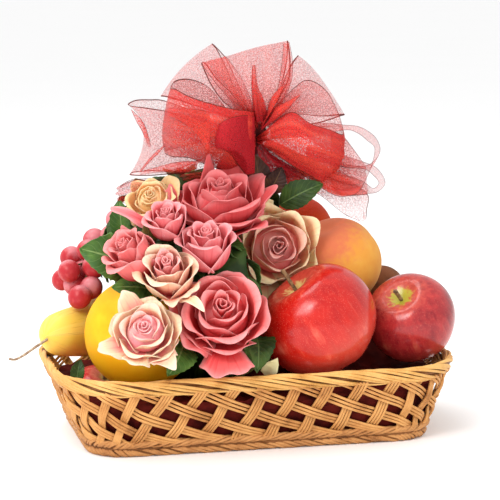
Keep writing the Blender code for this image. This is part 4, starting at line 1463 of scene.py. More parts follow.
ROSES = (
    Rose("rose_top", (-0.0245, -0.024, 0.188), (-0.1, -0.32, 0.94),
         0.035, Bloom.WIDE, 23.0, "petal_wine", "rose_deep", (
        (98, 0.66, (0.66, -0.6), (0.8, 0.0), (0.7, 0.78), 10.0, 0.16, 0.88),
        (62, 0.78, (0.7, -0.6), (0.92, -0.1), (0.98, 0.3), 60.0, 0.12, 0.35),
        (4, 0.6, (0.8, -0.6), (0.98, -0.4), (1.24, -0.14), 70.0, 0.12, 0.3),
        (36, 0.62, (0.8, -0.6), (0.96, -0.4), (1.16, -0.02), 70.0, 0.12, 0.35),
        (150, 0.54, (0.8, -0.6), (0.98, -0.4), (1.18, -0.06), 60.0, 0.14, 0.4),
        (250, 0.6, (0.8, -0.8), (1.0, -0.6), (1.12, -0.52), 80.0, 0.2),
        (300, 0.6, (0.8, -0.8), (1.0, -0.6), (1.12, -0.52), 80.0, 0.2),
    )),
    Rose("rose_back_left", (-0.0735, -0.006, 0.182), (-0.32, -0.66, 0.68),
         0.021, Bloom.WIDE, 63.0, "petal_cream", "rose_cream", (), 0.13),
    Rose("rose_small", (-0.07, -0.052, 0.1695), (-0.22, -0.46, 0.86),
         0.0168, Bloom.CUP, 115.0, "petal_rose", "rose_pink", (
        (20, *WRAP),
        (200, *WRAP),
        (150, 0.26, (0.8, -0.4), (1.3, 0.2), (2.4, 0.5), 20.0, 0.34),
    )),
    Rose("rose_bud_left", (-0.097, -0.056, 0.1465), (-0.6, -0.28, 0.75),
         0.0225, Bloom.CUP, 11.0, "petal_coral", "rose_deep", (
        (40, *WRAP),
        (215, *WRAP),
        (80, 0.5, (0.8, -0.5), (0.95, 0.0), (1.05, 0.3), 20.0, 0.25),
    ), 0.11),
    Rose("rose_blush", (-0.0735, -0.073, 0.1355), (-0.27, -0.66, 0.7),
         0.023, Bloom.CUP, 149.0, "petal_blush", "rose_cream", (
        (165, *WRAP),
        (-15, *WRAP),
        (298, 0.6, (0.85, -0.5), (1.0, -0.1), (1.16, 0.22), 130.0, 0.14),
        (256, 0.44, (0.85, -0.5), (0.98, -0.1), (1.3, 0.2), 90.0, 0.2),
        (284, 0.2, (0.85, -0.5), (1.1, 0.0), (2.05, 0.62), 60.0, 0.3),
    )),
    Rose("rose_bud", (-0.043, -0.063, 0.152), (-0.12, -0.4, 0.91),
         0.022, Bloom.CUP, 52.0, "petal_rose", "rose_pink", (
        (-5, *WRAP),
        (176, *WRAP),
    )),
    Rose("rose_large", (-0.0362, -0.085, 0.1085), (-0.19, -0.81, 0.56),
         0.0335, Bloom.OPEN, 86.0, "petal_dusty", "rose_deep", (
        (262, 0.5, (0.85, -0.7), (1.2, -0.4), (1.74, 0.12), 20.0, -0.16),
        (205, 0.55, (0.85, -0.5), (0.98, -0.2), (1.08, 0.04), 100.0, 0.08),
        (150, 0.46, (0.85, -0.5), (0.98, -0.2), (1.16, -0.04), 60.0, 0.12),
    )),
    Rose("rose_tan", (0.0225, -0.013, 0.1412), (-0.13, -0.96, 0.23),
         0.034, Bloom.OPEN, 126.0, "petal_tan", "rose_cream", (
        (236, 0.5, (0.85, -0.5), (1.05, -0.1), (1.52, 0.1), 40.0, 0.16),
        (196, 0.5, (0.85, -0.5), (1.05, -0.1), (1.4, 0.06), 60.0, 0.1),
        (118, 0.56, (0.85, -0.5), (1.0, -0.1), (1.22, 0.06), 90.0, 0.08),
    ), 0.055),
    Rose("rose_peach", (-0.0955, -0.097, 0.1005), (-0.25, -0.78, 0.58),
         0.025, Bloom.WIDE, 40.0, "petal_peach", "rose_cream", (
        (190, 0.6, (0.85, -0.5), (1.02, -0.2), (1.36, 0.06), 40.0, 0.14, 0.45),
        (236, 0.44, (0.85, -0.5), (1.0, -0.2), (1.16, 0.02), 60.0, 0.14),
        (286, 0.62, (0.85, -0.6), (1.05, -0.3), (1.54, 0.06), 50.0, 0.12, 0.45),
        (100, 0.6, (0.85, -0.5), (1.0, -0.2), (1.26, 0.02), 50.0, 0.14, 0.4),
    ), 0.055),
)


@dataclass
class SilkRose:
    """Builds one rose out of single petals."""

    design: Rose
    palette: Palette
    across: int = 12
    along: int = 12
    thickness: float = 0.0005
    lip_share: float = 0.17

    def middle_line(self, row: PetalRow, share: float) -> tuple[float, float]:
        """Find a point of a petal's middle line, before its lip rolls over.

        Args:
            row: The petal's row.
            share: 0 at the foot, 1 at the edge.

        Returns:
            Radius and height in shares of the bloom's radius.
        """
        rest = 1.0 - share
        weights = (rest**3, 3 * rest**2 * share, 3 * rest * share**2, share**3)
        points = (PETAL_FOOT, row.belly, row.shoulder, row.lip)
        radius = sum(weight * point[0] for weight, point in zip(weights, points))
        height = sum(weight * point[1] for weight, point in zip(weights, points))
        return radius, height

    def profile(self, row: PetalRow, run: float) -> tuple[float, float]:
        """Find a point of a petal's middle line, with its lip rolled outwards.

        Args:
            row: The petal's row.
            run: 0 at the foot, 1 at the edge.

        Returns:
            Radius and height in shares of the bloom's radius.
        """
        start = 1.0 - self.lip_share
        if run <= start:
            return self.middle_line(row, run)
        back = 0.02
        radius, height = self.middle_line(row, start)
        before = self.middle_line(row, start - back)
        forward, rise = radius - before[0], height - before[1]
        length = math.hypot(forward, rise)
        forward, rise = forward / length, rise / length
        full = self.lip_share * length / back
        curve = full / math.radians(row.roll)
        angle = (run - start) / self.lip_share * math.radians(row.roll)
        ahead, aside = curve * math.sin(angle), curve * (1.0 - math.cos(angle))
        return radius + forward * ahead + rise * aside, height + rise * ahead - forward * aside

    def petal(self, row: PetalRow, angle: float, ring: float, rng: random.Random, tuck: float) -> Piece:
        """Make one petal in shares of the bloom's radius.

        Args:
            row: Its size and curve.
            angle: Where it stands round the bloom, in radians.
            ring: 0 at the heart, 1 at the outside.
            rng: Source of its unevenness.
            tuck: How far one side tucks in under its neighbour.

        Returns:
            The petal.
        """
        seed = Vector((rng.uniform(0, 50), rng.uniform(0, 50), rng.uniform(0, 50)))
        grow = rng.uniform(0.87, 1.04)
        lean = rng.uniform(-0.10, 0.10)
        crumple = self.design.crumple * (0.4 + ring)
        piece = grid(self.across, self.along)

        def bend(place: Vector) -> Vector:
            """Where a corner of the petal goes."""
            across = place.x
            along = 1.0 - (1.0 - (place.y + 1.0) / 2) ** 1.25
            corner = 1.0 - 0.40 * abs(across) ** 2.1 + row.point * ((1.0 - abs(across)) ** 2 - 0.3)
            radius, height = self.profile(row, min(1.0, along * corner * grow))
            over = max(0.0, along * corner * grow - 1.0)
            radius += over * 0.7
            height += over * 0.5
            half = row.half_width * (0.42 + 0.58 * ease(along, 0.0, 0.66))
            half *= 1.0 - row.taper * ease(along, 0.58, 1.0)
            side = max(0.0, abs(across) - 0.55) / 0.45
            top = ease(along, 0.45, 0.95)
            frill = noise.noise(seed + Vector((across * 3.4, 5.0, 0.0))) * along**3
            radius += (0.11 * side**2 * top + 0.07 * frill) * ring
            height += (0.10 * frill - 0.10 * side**2 * top) * ring
            wave = noise.noise(seed + Vector((across * 1.3, along * 1.1, 0.0)))
            crease = 1.0 - abs(noise.noise(seed + Vector((across * 2.6 + 7.0, along * 0.7, 3.0)))) * 2.0
            fine = abs(noise.noise(seed + Vector((across * 5.5, along * 1.6, 11.0))))
            radius *= 1.0 + tuck * across + crumple * (1.5 * wave + 0.9 * crease - 0.6 + 1.0 * fine) * along
            height += crumple * 1.5 * wave * along
            turn = angle + across * half + lean * along
            return Vector((radius * math.cos(turn), radius * math.sin(turn), height))

        shape(piece, bend)
        mark(piece, "ring", ring)
        mark(piece, "tone", rng.uniform(0.0, 1.0))
        return piece

    def swirl(self, top: float) -> Piece:
        """Make the tightly wound petal in the middle of the bloom.

        Args:
            top: Height of its edge in shares of the bloom's radius.

        Returns:
            The wound petal.
        """
        piece = grid(84, 8)
        turns = 1.9

        def wind(place: Vector) -> Vector:
            """Where a corner of the petal goes."""
            run, along = (place.x + 1.0) / 2, (place.y + 1.0) / 2
            turn = run * turns * FULL_TURN + math.radians(self.design.turn)
            lip = ease(along, 0.72, 1.0)
            uneven = noise.noise(Vector((math.cos(turn), math.sin(turn), run * 3.0 + self.design.turn)))
            radius = blend(run, 0.02, 0.165) * (1.0 + 0.55 * uneven) + 0.022 * lip
            height = blend(along, -0.30, top + 0.10 * uneven - 0.04 * run) - 0.02 * lip**2
            return Vector((radius * math.cos(turn), radius * math.sin(turn), height))

        shape(piece, wind)
        mark(piece, "ring", 0.0)
        return piece

    def heart(self) -> Piece:
        """Make the closed middle that the petals wrap, so that nothing shows between them.

        Returns:
            The middle.
        """
        piece = ball(20, 12)
        shape(piece, lambda place: Vector((place.x * 0.56, place.y * 0.56, place.z * 0.40 - 0.40)))
        mark(piece, "ring", 0.0)
        return piece

    def sepals(self) -> Piece:
        """Make the calyx behind the bloom, five sepals.

        Returns:
            The calyx.
        """
        pieces = []
        for index in range(5):
            angle = FULL_TURN * index / 5

            def bend(place: Vector) -> Vector:
                """Where a corner of the sepal goes."""
                along = (place.y + 1.0) / 2
                radius = blend(along, 0.06, 0.78)
                half = 0.46 * (1.0 - along) ** 0.7 + 0.01
                turn = angle + place.x * half
                height = -1.0 + 0.36 * along**1.6
                return Vector((radius * math.cos(turn), radius * math.sin(turn), height))

            sepal = grid(4, 6)
            shape(sepal, bend)
            pieces.append(sepal)
        return join("sepals", pieces)

    def build(self) -> None:
        """Make the whole bloom with its calyx and stem."""
        design = self.design
        rng = random.Random(design.name)
        rows = design.bloom.value
        petals = [self.heart(), self.swirl(rows[0].lip[1] + 0.03)]
        start = math.radians(design.turn)
        for index, row in enumerate(rows):
            ring = (index + 1) / len(rows)
            for petal in range(row.count):
                angle = start + FULL_TURN * petal / row.count + index * 1.1 + rng.uniform(-0.15, 0.15)
                petals.append(self.petal(row, angle, ring, rng, 0.07 if index < 4 else 0.05))
        for angle, *form in design.loose:
            petals.append(self.petal(PetalRow(1, *form), math.radians(angle), 1.0, rng, 0.02))
        bloom = self.stand(join(design.name, petals), design.finish, 1)
        calyx = self.stand(self.sepals(), "leaf_dark", 0)
        foot = Vector(design.centre) - Vector(design.facing).normalized() * design.radius * 0.80
        bend = foot - Vector(design.facing).normalized() * 0.006
        stem = stalk((foot, bend, bend + (CORE_MIDDLE - foot).normalized() * 0.010), 0.0021, 0.0021, 6)
        dress(stem, self.palette["leaf_dark"])
        settle(join(design.name, [bloom, calyx, stem]), f"{design.name}_petals", design.slot, design.name)

    def stand(self, piece: Piece, finish: str, levels: int) -> Piece:
        """Stand a part of the bloom where the rose is, and give it its thickness and finish.

        Args:
            piece: Part made in shares of the bloom's radius, facing +Z.
            finish: Name of its finish.
            levels: Times that its faces are cut finer.

        Returns:
            The same part.
        """
        design = self.design
        matrix = turned(design.centre, design.facing) @ Matrix.Scale(design.radius, 4)
        shape(piece, lambda place: clear_of_fruit(matrix @ place))
        if levels:
            work(piece, "SUBSURF", levels=levels, render_levels=levels)
        work(piece, "SOLIDIFY", thickness=self.thickness, offset=0.0)
        dress(piece, self.palette[finish])
        smooth(piece, 70.0)
        return piece


# Leaves


@dataclass(frozen=True)
class Leaf:
    """A leaf from base to tip, the way its upper side looks, its width and its finish."""

    name: str
    base: Place
    tip: Place
    face: Place
    width: float
    finish: str
    fold: float = 0.22
    arch: float = 0.14


LEAVES = (
    Leaf("leaf_left", (-0.09, -0.03, 0.133), (-0.131, -0.034, 0.1485), (-0.25, -0.9, 0.35),
         0.036, "leaf_fresh"),
    Leaf("leaf_upper_left", (-0.096, -0.024, 0.15), (-0.0985, -0.02, 0.181), (-0.4, -0.9, 0.1),
         0.017, "leaf_fresh"),
    Leaf("leaf_under_bud", (-0.08, -0.048, 0.118), (-0.112, -0.06, 0.1235), (-0.2, -0.9, 0.4),
         0.022, "leaf_fresh"),
    Leaf("leaf_front", (-0.061, -0.065, 0.08), (-0.076, -0.086, 0.062), (0.15, -0.9, 0.35),
         0.024, "leaf_fresh"),
    Leaf("leaf_below_rose", (-0.005, -0.056, 0.082), (-0.013, -0.096, 0.064), (0.1, -0.6, 0.75),
         0.024, "leaf_dark"),
    Leaf("leaf_right", (0.03, 0.009, 0.17), (0.061, -0.002, 0.187), (0.2, -0.85, 0.45),
         0.022, "leaf_dark"),
    Leaf("leaf_sepal", (-0.081, -0.038, 0.15), (-0.085, -0.049, 0.17), (0.0, -0.9, 0.4),
         0.013, "leaf_olive"),
    Leaf("leaf_under_pear", (-0.134, -0.03, 0.046), (-0.13, -0.024, 0.064), (-0.3, -0.9, 0.3),
         0.011, "leaf_dark"),
)
# Leaves under the bow's knot, base, tip and width; their dark brown finish paints the shade under the bow.
SHADE_LEAVES = (
    ((0.014, 0.016, 0.18), (0.011, 0.012, 0.209), 0.02),
    ((0.022, 0.014, 0.179), (0.032, 0.01, 0.199), 0.018),
    ((0.005, 0.018, 0.186), (0.002, 0.016, 0.206), 0.016),
)
# Heading and climb in degrees of the leaves round the back, from the middle of the foliage.
BACK_LEAVES = ((114, 34), (92, 4), (60, 28), (98, 60))
# Balls that stand for the grapes and the pear when room for leaves is looked for.
LONG_FRUIT = (((-0.114, 0.04, 0.124), 0.022), ((-0.1, 0.05, 0.074), 0.03))
GOLDEN_ANGLE = 2.399963


@dataclass
class LeafBlade:
    """Builds one leaf blade."""

    palette: Palette
    thickness: float = 0.0007
    teeth: int = 9

    def blade(self, design: Leaf, across: int = 8, along: int = 27) -> Piece:
        """Make a leaf: folded along its midrib, arched, rippled and toothed at its edge.

        Args:
            design: The leaf.
            across: Faces across it.
            along: Faces along it.

        Returns:
            The blade, dressed.
        """
        base, tip = Vector(design.base), Vector(design.tip)
        run = tip - base
        forward = run.normalized()
        side = forward.cross(Vector(design.face)).normalized()
        up = side.cross(forward)
        if up.dot(Vector(design.face)) < 0:
            up = -up
        phase = (design.base[0] * 977.0 + design.base[2] * 613.0) % FULL_TURN
        piece = grid(across, along)

        def bend(place: Vector) -> Vector:
            """Where a corner of the leaf goes."""
            share = (place.y + 1.0) / 2
            half = 0.0
            if 0 < share < 1:
                half = design.width / 2 * math.sin(math.pi * min(1.0, share) ** 0.85) ** 0.75
            tooth = 1.0 - 0.07 * abs(math.sin(math.pi * self.teeth * share)) * abs(place.x) ** 4
            reach = place.x * half * tooth
            rise = abs(reach) * design.fold * 2.0
            wave = run.length * 0.035 * math.sin(share * 9.0 + phase) * place.x * abs(place.x)
            veins = 0.0005 * math.cos((share - abs(place.x) * 0.30) * 34.0) * min(1.0, 3.0 * abs(place.x))
            arch = run.length * design.arch * math.sin(math.pi * share)
            spot = base + run * share + side * reach + up * (rise + wave + veins + arch)
            return clear_of_fruit(spot, 0.0012)

        shape(piece, bend)
        work(piece, "SOLIDIFY", thickness=self.thickness, offset=0.0)
        dress(piece, self.palette[design.finish])
        smooth(piece, 60.0)
        return piece

    def build(self) -> None:
        """Make each leaf that stands for a solid."""
        for design in LEAVES:
            settle(self.blade(design), f"{design.name}_blade", "leaf_green", design.name)


@dataclass
class Foliage:
    """Dome of stems that holds the roses, hidden under rows of drooping leaves."""

    palette: Palette
    dome: Piece
    blades: LeafBlade
    tries: int = 300
    lowest: float = -0.75
    inset: float = 0.002

    def surface(self, way: Vector) -> tuple[Vector, Vector] | None:
        """Place and normal of the dome's solid in a direction from its middle, if it is there."""
        hit, place, normal, _ = self.dome.ray_cast(CORE_MIDDLE + way * 0.2, -way)
        return (place, normal) if hit else None

    def crowded(self, place: Vector, margin: float) -> bool:
        """Tell whether a place lies in or very near a bloom or a fruit.

        Args:
            place: The place.
            margin: Distance in metres that counts as near.

        Returns:
            Whether it does.
        """
        near = [(Vector(round_one.centre), round_one.radius) for round_one in (*ROSES, *FRUIT)]
        near.extend((Vector(middle), radius) for middle, radius in LONG_FRUIT)
        return any((place - centre).length < radius + margin for centre, radius in near)

    def roughened(self) -> Piece:
        """Make the dome of stems from its solid, a little smaller and lumpy.

        Returns:
            The dome.
        """
        dome = finer_copy(self.dome, 2)

        def roughen(place: Vector) -> Vector:
            """Where a corner of the dome goes."""
            away = place - CORE_MIDDLE
            lump = 0.0022 * noise.noise(place * 160.0)
            return CORE_MIDDLE + away * (1.0 - self.inset / away.length) + away.normalized() * (lump - 0.0015)

        shape(dome, roughen)
        dress(dome, self.palette["leaf_dark"])
        smooth(dome, 60.0)
        return dome

    def drooping(self, way: Vector, rng: random.Random) -> Piece | None:
        """Make one leaf that droops over the dome.

        Args:
            way: Direction of its foot from the dome's middle.
            rng: Source of its unevenness.

        Returns:
            The leaf, or nothing where a rose or a fruit leaves no room for it.
        """
        found = self.surface(way)
        if not found or self.crowded(found[0], 0.005):
            return None
        place, normal = found
        down = DOWN - normal * normal.dot(DOWN)
        if down.length < 0.2:
            down = Vector((rng.uniform(-1, 1), rng.uniform(-1, 1), 0.0))
        sway = normal.cross(down.normalized()) * rng.uniform(-0.45, 0.45)
        length = rng.uniform(0.022, 0.032)
        heading = (down.normalized() + sway).normalized()
        base = place - normal * 0.0015
        tip = base + heading * length + normal * rng.uniform(0.004, 0.008)
        if self.crowded(tip, 0.0015):
            tip = base + heading * length * 0.55 + normal * 0.003
            if self.crowded(tip, 0.0015):
                return None
        finish = rng.choice(("leaf_fresh", "leaf_dark", "leaf_dark", "leaf_olive"))
        width = length * rng.uniform(0.50, 0.66)
        face = tuple(normal + Vector((0, 0, 0.2)))
        leaf = Leaf("spray", tuple(base), tuple(tip), face, width, finish, 0.18, 0.16)
        return self.blades.blade(leaf, 4, 9)

    def build(self) -> None:
        """Make the dome and its leaves."""
        rng = random.Random(41)
        pieces = [self.roughened()]
        for index in range(self.tries):
            height = 1.0 - 2.0 * (index + 0.5) / self.tries
            if height < self.lowest:
                break
            turn = index * GOLDEN_ANGLE
            flat = math.sqrt(1.0 - height * height)
            leaf = self.drooping(Vector((flat * math.cos(turn), flat * math.sin(turn), height)), rng)
            if leaf:
                pieces.append(leaf)
        for heading, climb in BACK_LEAVES:
            heading, climb = math.radians(heading), math.radians(climb)
            flat = math.cos(climb)
            way = Vector((math.cos(heading) * flat, math.sin(heading) * flat, math.sin(climb)))
            base = self.surface(way)[0]
            down = (DOWN + way * way.z).normalized()
            tip = base + way * 0.016 + down * 0.030
            face = tuple(way + Vector((0, 0, 0.3)))
            leaf = Leaf("spray", tuple(base), tuple(tip), face, 0.026, "leaf_fresh")
            pieces.append(self.blades.blade(leaf, 6, 18))
        for base, tip, width in SHADE_LEAVES:
            leaf = Leaf("spray", base, tip, (0.1, -0.95, 0.3), width, "leaf_shade")
            pieces.append(self.blades.blade(leaf, 6, 12))
        backs = [f"leaf_back_{index + 1}" for index in range(len(BACK_LEAVES))]
        settle(join("foliage", pieces), "foliage", "leaf_green", "foliage_core", *backs)


# Ribbon bow

KNOT = Vector((0.0150, 0.0215, 0.2240))
MILLIMETRE = 0.001
Rib = tuple[int, int, int, int, int, int, int, int, int, float]


@dataclass(frozen=True)
class Strip:
    """One stretch of ribbon: how deeply it is pleated, and its ribs from end to end.

    A rib is X, Y and Z of one wired edge, of the ribbon's middle and of the other edge, in millimetres,
    and then how many thicknesses lie together there.
    """

    name: str
    pleated: float
    ribs: tuple[Rib, ...]


STRIPS = (
    Strip("front_left", 0.5, (
        (12, 14, 229, 11, 12, 226, 12, 14, 221, 7.0), (9, 2, 241, 6, -4, 227, 9, 6, 211, 6.0),
        (3, -8, 244, 0, -16, 224, 7, 5, 200, 5.0), (-11, -13, 246, -14, -20, 224, -7, 6, 197, 5.0),
        (-29, -14, 251, -32, -22, 228, -25, 5, 202, 4.6), (-44, -11, 256, -46, -16, 231, -42, 1, 209, 3.0),
        (-53, -3, 261, -57, -8, 235, -54, 0, 210, 2.0), (-55, 6, 261, -61, 4, 234, -59, 6, 212, 1.4),
        (-48, 18, 266, -56, 16, 234, -55, 18, 213, 1.1), (-35, 26, 266, -39, 26, 239, -41, 26, 215, 1.1),
        (-20, 30, 259, -20, 30, 240, -22, 28, 219, 1.2), (-6, 27, 242, -5, 26, 233, -4, 26, 222, 2.2),
        (13, 18, 228, 13, 18, 226, 13, 18, 222, 5.0),
    )),
    Strip("front_right", 0.5, (
        (13, 14, 222, 13, 12, 220, 13, 14, 217, 7.0), (17, 2, 228, 15, -4, 223, 17, 2, 214, 6.0),
        (24, -8, 238, 24, -14, 225, 28, -4, 207, 5.0), (35, -12, 243, 34, -20, 224, 39, -6, 200, 5.0),
        (49, -12, 234, 47, -22, 217, 50, -6, 194, 5.2), (64, -6, 229, 62, -14, 211, 58, -2, 189, 5.6),
        (78, 4, 224, 76, -2, 206, 68, 8, 189, 4.5), (82, 13, 227, 81, 12, 209, 76, 17, 194, 2.4),
        (79, 21, 240, 80, 21, 219, 75, 24, 202, 1.3), (70, 26, 257, 72, 28, 231, 71, 28, 209, 0.9),
        (57, 30, 264, 58, 31, 242, 58, 28, 219, 0.9), (44, 28, 257, 43, 29, 242, 41, 26, 226, 1.3),
        (28, 22, 242, 26, 22, 235, 24, 20, 227, 2.6), (17, 18, 229, 16, 18, 226, 15, 18, 222, 6.0),
    )),
    Strip("top", 1.0, (
        (9, 14, 232, 14, 12, 231, 20, 14, 232, 4.0), (-2, 6, 241, 8, 0, 241, 22, 8, 241, 2.2),
        (-15, 2, 250, 4, -7, 255, 29, 4, 253, 1.2), (-25, 2, 263, 2, -9, 268, 36, 4, 267, 0.85),
        (-30, 6, 275, 0, -4, 281, 38, 8, 281, 0.75), (-30, 13, 279, 3, 11, 287, 38, 15, 294, 0.75),
        (-25, 21, 277, 8, 25, 285, 40, 23, 291, 0.75), (-16, 25, 266, 13, 33, 272, 40, 27, 277, 0.85),
        (-3, 25, 254, 15, 33, 257, 36, 27, 260, 1.2), (8, 21, 241, 16, 25, 242, 28, 21, 243, 2.2),
        (13, 18, 231, 16, 18, 230, 20, 18, 231, 4.0),
    )),
    Strip("top_left_pleat", 0.25, (
        (7, 8, 235, 9, 6, 235, 12, 8, 235, 6.0), (-6, 0, 247, -1, -4, 248, 5, -3, 249, 1.9),
        (-20, -3, 262, -12, -7, 264, -3, -7, 267, 0.9), (-29, -1, 274, -21, -6, 277, -12, -6, 280, 0.65),
        (-31, 6, 279, -23, 3, 282, -14, 3, 284, 0.55),
    )),
    Strip("top_right_pleat", 0.25, (
        (19, 8, 235, 20, 6, 236, 22, 8, 237, 6.0), (22, 1, 249, 26, -3, 250, 30, 0, 252, 2.0),
        (27, -2, 263, 31, -6, 264, 35, -1, 267, 1.3), (30, 0, 277, 32, -4, 279, 37, 3, 281, 1.0),
        (33, 9, 293, 34, 7, 293, 37, 10, 294, 0.9),
    )),
    Strip("top_middle_pleat", 0.3, (
        (8, 4, 235, 13, 0, 235, 20, 4, 236, 8.0), (5, -6, 251, 8, -10, 252, 14, -6, 251, 6.0),
        (4, -8, 263, 5, -11, 264, 8, -8, 263, 3.0), (6, -4, 278, 6, -6, 278, 7, -4, 278, 1.6),
    )),
    Strip("back_left", 0.8, (
        (13, 20, 232, 14, 20, 229, 13, 20, 227, 3.0), (3, 27, 247, -2, 25, 242, -7, 27, 237, 1.2),
        (-5, 33, 270, -19, 29, 259, -32, 33, 246, 0.7), (-12, 37, 287, -31, 33, 273, -47, 37, 251, 0.55),
        (-15, 43, 292, -36, 43, 276, -55, 43, 252, 0.5), (-10, 51, 289, -30, 55, 273, -50, 51, 251, 0.5),
        (-1, 53, 279, -18, 57, 263, -37, 53, 247, 0.55), (5, 45, 262, -4, 47, 251, -15, 45, 240, 0.9),
        (13, 28, 236, 13, 28, 233, 11, 28, 231, 3.0),
    )),
    Strip("back_right", 0.8, (
        (22, 20, 232, 24, 20, 229, 24, 20, 227, 3.0), (33, 29, 251, 39, 25, 246, 46, 29, 236, 1.2),
        (45, 35, 275, 58, 31, 260, 72, 35, 235, 0.7), (53, 43, 282, 72, 43, 263, 90, 43, 235, 0.55),
        (53, 51, 279, 71, 55, 261, 89, 51, 233, 0.5), (45, 51, 265, 59, 53, 251, 70, 51, 228, 0.7),
        (27, 28, 236, 30, 28, 231, 30, 28, 227, 3.0),
    )),
    Strip("far_left", 0.9, (
        (11, 18, 225, 11, 18, 222, 11, 18, 218, 4.0), (-18, 14, 233, -19, 12, 221, -18, 16, 203, 1.5),
        (-39, 10, 239, -41, 8, 221, -36, 14, 197, 1.1), (-58, 8, 244, -60, 4, 221, -56, 12, 196, 0.8),
        (-75, 8, 247, -70, 2, 220, -74, 12, 195, 0.65), (-86, 15, 248, -74, 12, 225, -84, 18, 195, 0.6),
        (-79, 25, 251, -72, 26, 223, -80, 27, 196, 0.6), (-67, 31, 251, -63, 32, 222, -67, 33, 196, 0.6),
        (-52, 35, 249, -47, 36, 222, -47, 35, 196, 0.7), (-20, 31, 236, -20, 31, 222, -20, 31, 206, 1.2),
        (12, 20, 225, 12, 20, 222, 12, 20, 219, 4.0),
    )),
    Strip("small_left", 0.5, (
        (-26, 24, 196, -26, 24, 193, -26, 24, 190, 2.0), (-48, 22, 194, -48, 22, 189, -48, 22, 184, 1.0),
        (-66, 18, 191, -68, 16, 183, -69, 20, 173, 0.8), (-81, 16, 192, -83, 13, 184, -83, 18, 172, 0.8),
        (-92, 17, 187, -94, 17, 182, -92, 19, 176, 0.8), (-82, 27, 191, -84, 29, 184, -83, 27, 175, 0.8),
        (-63, 31, 191, -64, 31, 184, -64, 29, 176, 1.0), (-26, 26, 195, -26, 26, 193, -26, 26, 191, 2.0),
    )),
    Strip("side_right", 0.5, (
        (26, 24, 226, 26, 22, 224, 26, 24, 220, 6.0), (67, 38, 229, 64, 24, 226, 61, 14, 221, 2.2),
        (91, 46, 227, 85, 24, 227, 79, 2, 227, 1.3), (105, 48, 225, 97, 24, 225, 88, 0, 225, 1.0),
        (116, 46, 218, 106, 22, 218, 96, -2, 219, 0.9), (120, 42, 209, 110, 18, 211, 101, -6, 213, 0.9),
        (115, 34, 202, 106, 12, 200, 97, -10, 199, 1.0), (103, 26, 197, 95, 8, 191, 91, -10, 186, 1.3),
        (88, 18, 199, 84, 4, 188, 85, -8, 179, 1.6), (73, 16, 203, 70, 2, 192, 70, -4, 178, 2.0),
        (50, 16, 209, 48, 8, 202, 49, 4, 192, 3.0), (22, 20, 221, 22, 18, 219, 22, 18, 215, 6.0),
    )),
    Strip("low_right", 0.5, (
        (57, 30, 212, 55, 24, 208, 54, 18, 203, 4.0), (89, 38, 203, 84, 20, 201, 80, 6, 198, 2.0),
        (108, 42, 197, 101, 20, 197, 94, 0, 197, 1.2), (117, 40, 192, 109, 18, 192, 100, -4, 193, 0.9),
        (122, 36, 182, 113, 14, 184, 104, -8, 187, 0.8), (114, 28, 176, 106, 8, 179, 98, -12, 183, 0.8),
        (102, 18, 176, 96, 2, 182, 90, -12, 189, 1.2), (85, 10, 176, 82, 0, 185, 79, -8, 194, 2.0),
        (66, 6, 182, 65, 0, 191, 64, -2, 200, 3.0), (29, 14, 211, 28, 12, 214, 29, 14, 217, 6.0),
    )),
    Strip("tail_right", 0.6, (
        (22, 22, 220, 21, 22, 216, 20, 22, 213, 6.0), (53, 25, 204, 47, 22, 195, 43, 25, 185, 4.0),
        (85, 26, 188, 72, 22, 180, 61, 26, 178, 2.0), (104, 23, 175, 87, 18, 171, 70, 23, 172, 1.0),
        (103, 21, 163, 93, 16, 162, 82, 21, 162, 0.6), (102, 20, 155, 98, 18, 154, 96, 20, 154, 0.5),
    )),
    # Ribbon under the knot with many thicknesses, so that it is dense and deep red: partly the bow's
    # underside, partly a dark sheet that paints the shade under the knot.
    Strip("under_knot", 0.5, (
        (16, 20, 222, 15, 20, 219, 13, 22, 215, 10.0), (24, 16, 210, 18, 16, 204, 13, 22, 196, 10.0),
        (38, 14, 201, 26, 14, 194, 14, 20, 185, 9.0), (54, 14, 192, 42, 14, 185, 28, 20, 180, 6.0),
    )),
    Strip("side_panel_pleat", 0.3, (
        (73, 18, 226, 71, 12, 203, 70, 6, 181, 3.6), (82, 16, 221, 80, 8, 201, 78, 2, 177, 2.2),
        (89, 14, 212, 88, 6, 195, 87, 0, 177, 1.5), (98, 12, 200, 98, 6, 190, 98, 2, 177, 1.0),
    )),
    Strip("far_upper_pleat", 0.0, (
        (-85, 4, 246, -85, 3, 245, -84, 4, 244, 1.2), (-81, 2, 237, -80, 0, 236, -78, 1, 237, 2.4),
        (-77, 2, 230, -76, 0, 229, -75, 1, 230, 2.6), (-72, 4, 218, -72, 3, 218, -71, 4, 218, 1.4),
    )),
    Strip("far_lower_pleat", 0.0, (
        (-79, 4, 199, -79, 3, 199, -79, 4, 200, 1.4), (-73, 2, 206, -72, 0, 208, -71, 1, 210, 2.4),
        (-66, 2, 213, -65, 0, 214, -65, 1, 216, 2.0), (-60, 4, 218, -60, 3, 219, -59, 4, 219, 1.4),
    )),
    Strip("fold_left_pleat", 0.0, (
        (7, -6, 240, 6, -10, 220, 7, -2, 196, 10.0), (-5, -18, 242, -7, -26, 222, -3, -8, 196, 8.6),
        (-16, -24, 241, -19, -32, 222, -13, -12, 199, 8.0),
        (-24, -24, 237, -26, -30, 224, -21, -18, 207, 8.0),
        (-25, -20, 231, -28, -22, 224, -25, -18, 215, 8.0),
        (-22, -18, 230, -22, -18, 224, -21, -16, 216, 7.0),
    )),
    Strip("cross_left_pleat", 0.1, (
        (-60, -10, 248, -61, -12, 245, -60, -12, 241, 1.2),
        (-51, -16, 248, -51, -18, 243, -51, -18, 237, 1.6),
        (-41, -20, 247, -41, -22, 237, -40, -22, 227, 2.4),
        (-30, -18, 245, -32, -24, 229, -31, -20, 210, 3.0),
    )),
    Strip("low_left_pleat", 0.1, (
